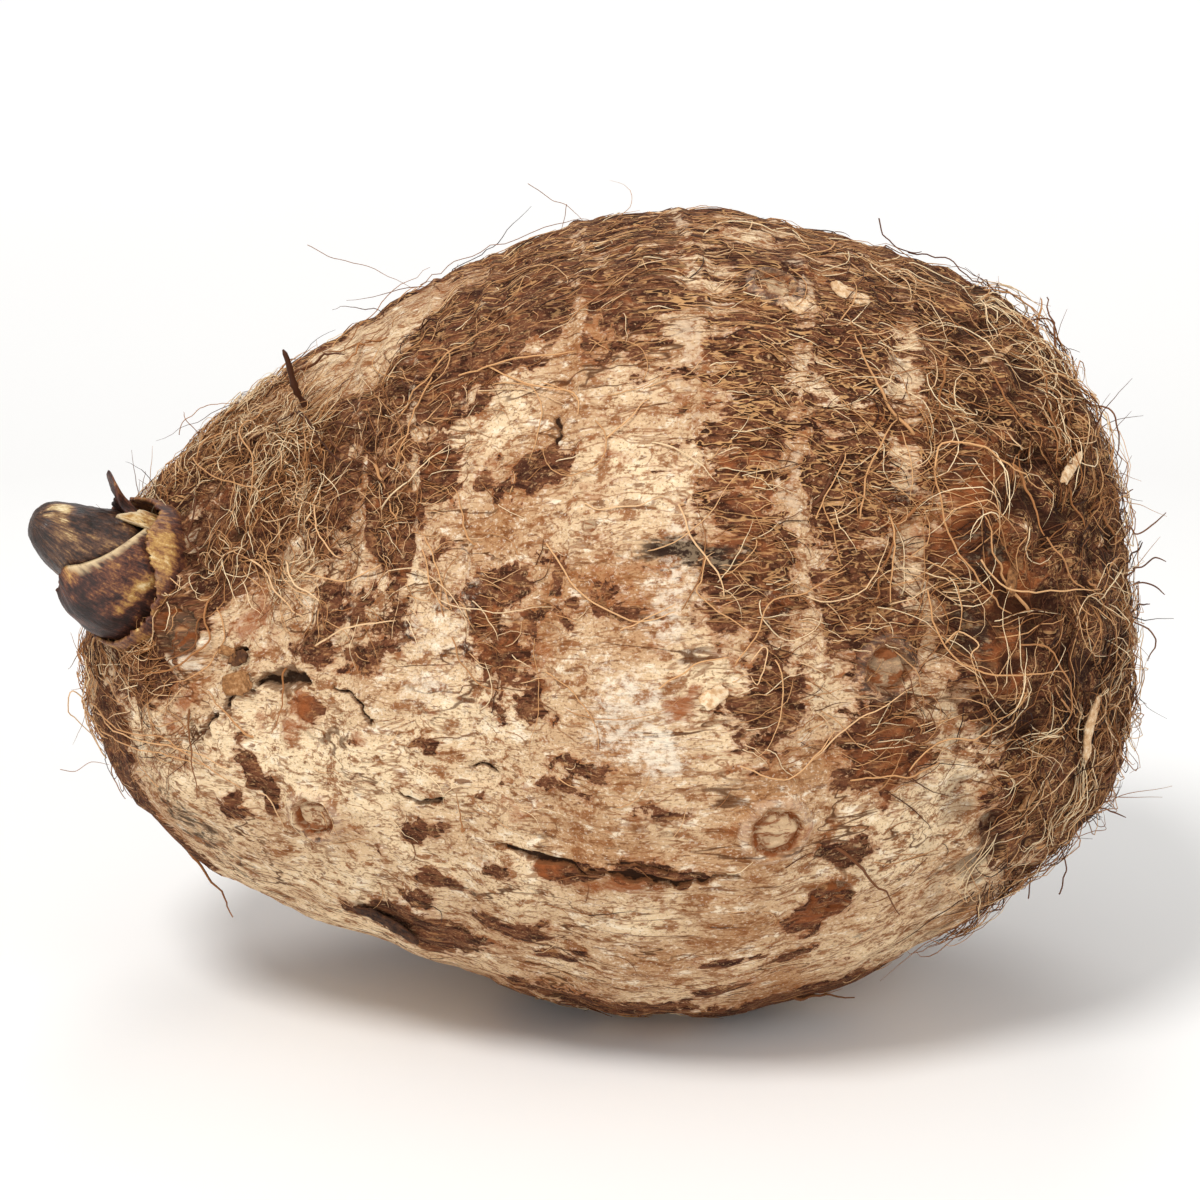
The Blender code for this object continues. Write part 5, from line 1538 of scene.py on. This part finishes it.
# A leaf base: a grid bent to part of a flaring cup, with a torn rim and a second wall inside
def leafBaseMesh(name, form):
    rim = smoothCurve(form["rim"], closed=False)
    bm = bmesh.new()
    layerNames = ("share", "height", "inner")
    layers = [bm.verts.layers.float.new(layer) for layer in layerNames]
    steps = round((rim[-1, 0] - rim[0, 0]) / 2.2)
    bmesh.ops.create_grid(bm, x_segments=steps, y_segments=22, size=0.5)
    for vert in bm.verts:
        vert[layers[0]], vert[layers[1]] = vert.co.x + 0.5, vert.co.y + 0.5
    copied = bmesh.ops.extrude_face_region(bm, geom=bm.faces[:], use_keep_orig=True)["geom"]
    for element in copied:
        if isinstance(element, bmesh.types.BMVert):
            element[layers[2]] = 1.0
    share, height, inner = (np.array([vert[layer] for vert in bm.verts]) for layer in layers)
    degrees = rim[0, 0] + (rim[-1, 0] - rim[0, 0]) * share
    top, footRadius, rimRadius = (np.interp(degrees, rim[:, 0], rim[:, k]) for k in (1, 2, 3))
    angle = np.radians(degrees)
    raggedness, raggedFrom, raggedTo = form["ragged"]
    torn = smoothStep(raggedFrom - 3, raggedFrom + 8, degrees)
    torn *= smoothStep(raggedTo + 3, raggedTo - 8, degrees)
    teeth = np.stack([degrees, degrees * 0.0, degrees * 0.0], axis=1)
    teeth = noiseOf(teeth, 9.0, 1, 5.0) + 1.3 * noiseOf(teeth, 3.5, 2, 1.0)
    top = top + raggedness * torn * teeth * height ** 2
    foot = shootForm["foot"]
    along = foot + (top - foot) * height
    radius = footRadius + (rimRadius - footRadius) * height ** form["closing"]
    radius += form["bulge"] * np.sin(math.pi * height)
    turning = np.stack([np.cos(angle), np.sin(angle), along / 7.0], axis=1)
    middleHeight = np.sin(math.pi * np.clip(height, 0.0, 1.0))
    radius += 0.3 * noiseOf(turning, 0.5, 2, 13.0) * middleHeight + 0.1 * height
    radius += 0.09 * noiseOf(turning * (1.0, 1.0, 0.3), 0.08, 2, 19.0)
    sideMargin = np.minimum(share, 1.0 - share) * np.radians(rim[-1, 0] - rim[0, 0]) * 7.0
    margin = np.minimum(sideMargin, top - along)
    radius -= inner * (form["wall"] * (0.55 + 0.45 * smoothStep(0.0, 1.5, margin)))
    tone = sheathTone(form, along, angle, radius)
    lengthwise = np.stack([along, np.cos(angle) * 7.0, np.sin(angle) * 7.0], axis=1)
    paleFrom, paleTo = form["paleMargin"]
    paleness = smoothStep(0.9, 0.4, margin + 0.5 * noiseOf(turning, 0.12, 2, 7.0))
    paleness *= smoothStep(paleFrom - 3, paleFrom + 3, degrees)
    paleness *= smoothStep(paleTo + 3, paleTo - 3, degrees)
    for layer in layerNames:
        bm.verts.layers.float.remove(bm.verts.layers.float[layer])
    return finishSheath(bm, name, roundShoot(along, angle, radius), lengthwise, tone, paleness)


# Dried leaf sheath: thin and hard with a dull waxy gloss, dark brown with gold fibres along it and a pale
# torn edge
dryStalk = {
    "patterns": {  # stretch along the stalk, size in mm, detail, roughness, distortion
        "fibres": (10.0, 0.3, 3.0, 0.6, 0.1),
        "blotches": (1.4, 1.6, 5.0, 0.68, 0.4),
        "specks": (1.5, 0.3, 2.0, 0.6, 0.0),
    },
    "amounts": {"fibres": 0.7, "blotches": 1.4, "specks": 0.6},
    "driedShoot": {
        "roughness": 0.38,
        "margin": "#C9AE7C",
        "colours": [(0.0, "#1B130C"), (0.2, "#36221A"), (0.4, "#5C3D2A"), (0.6, "#8E6B45"),
                    (0.8, "#C9AE7C"), (1.0, "#E6D6AE")],
    },
    "driedSheath": {
        "roughness": 0.5,
        "margin": "#CDB389",
        "colours": [(0.0, "#1E0F0B"), (0.22, "#3B2019"), (0.42, "#673B28"), (0.6, "#97683B"),
                    (0.8, "#BC9150"), (1.0, "#DEC596")],
    },
}


def sheathMaterial(name):
    look = dryStalk[name]
    material, tree, shader = newMaterial(name, Roughness=look["roughness"], Specular_IOR_Level=0.45)
    lengthwise = add(tree, "Attribute", attribute_name="lengthwise").outputs["Vector"]
    painted = add(tree, "Attribute", attribute_name="look").outputs["Vector"]
    tone, paleness, _ = add(tree, "SeparateXYZ", painted).outputs
    patterns = addPatterns(tree, lengthwise, dryStalk["patterns"])
    varied = tone
    for pattern, amount in dryStalk["amounts"].items():
        shift = add(tree, "Math", patterns[pattern], 0.5, operation="SUBTRACT")
        varied = add(tree, "Math", shift, amount, varied, operation="MULTIPLY_ADD")
    ramp = add(tree, "ValToRGB", varied)
    colours = look["colours"]
    ramp.color_ramp.elements[0].color = linear(colours[0][1])
    ramp.color_ramp.elements[1].color = linear(colours[-1][1])
    for position, colour in colours[1:-1]:
        ramp.color_ramp.elements.new(position).color = linear(colour)
    colour = add(tree, "Mix", paleness, ramp, linear(look["margin"]), data_type="RGBA")
    speckled = add(tree, "MapRange", patterns["blotches"], 0.5, 0.38, 0.0, 0.6)
    speckled = add(tree, "Math", speckled, paleness, operation="MULTIPLY")
    colour = add(tree, "Mix", speckled, colour, linear(colours[2][1]), data_type="RGBA")
    height = add(tree, "Math", patterns["fibres"], 0.6, patterns["blotches"], operation="MULTIPLY_ADD")
    finishMaterial(tree, shader, colour.outputs[2], height, 0.7, 0.3)
    return material


def addShoot():
    addPiece("driedShoot", shootMesh(), sheathMaterial("driedShoot"), "dried_shoot", "shoot")
    leafLook = sheathMaterial("driedSheath")
    for name, form in leafBases.items():
        addPiece(name, leafBaseMesh(name, form), leafLook, "dried_leaf_base", form["node"])


# Stage, light and camera

studio = {
    "floorSize": 4.0,
    "clip": (0.01, 20.0),
    "elevation": 15.0,
    "distance": 408.0,
    "lens": 90.0,
    "sensor": 36.0,
    "target": (70.2, 0.0, 56.0),
    "floor": "#F4F3F1",
    "world": 0.55,
    "glow": (0.35, 1.1, 0.5),  # the table glows away from the root: from and to in metres, how brightly
    "lights": [  # place in mm from the target, size in mm, watts
        ((-260.0, -420.0, 700.0), 260.0, 4.6),
        ((520.0, -460.0, 420.0), 420.0, 1.3),
        ((-120.0, -760.0, 40.0), 420.0, 0.9),
        ((60.0, 520.0, 640.0), 420.0, 1.5),
    ],
}


def addStage():
    bm = bmesh.new()
    bmesh.ops.create_grid(bm, x_segments=1, y_segments=1, size=studio["floorSize"])
    floor = addToScene("floor", meshFrom(bm, "floor"))
    # Light table covered in white paper
    material, tree, shader = newMaterial("litPaper", Roughness=0.9)
    shader.inputs["Base Color"].default_value = linear(studio["floor"])
    shader.inputs["Emission Color"].default_value = (1.0, 1.0, 1.0, 1.0)
    across = add(tree, "TexCoord").outputs["Object"]
    distance = add(tree, "VectorMath", across, operation="LENGTH").outputs["Value"]
    near, far, brightness = studio["glow"]
    glow = add(tree, "MapRange", distance, near, far, 0.0, brightness)
    tree.links.new(glow.outputs[0], shader.inputs["Emission Strength"])
    floor.data.materials.append(material)
    world = bpy.data.worlds.new("studio")
    world.use_nodes = True
    background = world.node_tree.nodes["Background"]
    background.inputs["Color"].default_value = (1.0, 1.0, 1.0, 1.0)
    background.inputs["Strength"].default_value = studio["world"]
    bpy.context.scene.world = world
    bpy.context.scene.view_settings.view_transform = "Standard"
    target = Vector(inPlace([studio["target"]])[0])
    for place, size, watts in studio["lights"]:
        light = bpy.data.lights.new("softbox", "AREA")
        light.shape = "DISK"
        light.size = size * mm
        light.energy = watts
        lamp = addToScene("softbox", light)
        lamp.location = target + Vector(place) * mm
        lamp.rotation_euler = (target - lamp.location).to_track_quat("-Z", "Y").to_euler()
    rise = math.radians(studio["elevation"])
    camera = bpy.data.cameras.new("camera")
    camera.lens, camera.sensor_width = studio["lens"], studio["sensor"]
    camera.clip_start, camera.clip_end = studio["clip"]
    eye = addToScene("camera", camera)
    eye.location = target + Vector((0.0, -math.cos(rise), math.sin(rise))) * studio["distance"] * mm
    eye.rotation_euler = (target - eye.location).to_track_quat("-Z", "Y").to_euler()
    bpy.context.scene.camera = eye


addStage()
print("stage ready")
cormSkin = addPiece("cormSkin", cormSkinMesh(), taroSkinMaterial(), "corm_skin", "corm")
print("skin ready", sum(len(face.vertices) - 2 for face in cormSkin.data.polygons))
fibreLook = fibreMaterial()
addHair(fibreLook)
strandPiece("rootlets", [rootletRows()], 6, fibreLook, "corm_skin", "corm")
strandPiece("longHairs", [longHairRows()], 5, fibreLook, "corm_skin", "corm")
strandPiece("rootSpike", [spikeRow()], 8, fibreLook, "corm_skin", "corm")
addPiece("flakes", flakesMesh(), flakeMaterial(), "corm_skin", "corm")
addShoot()
print("shoot ready")
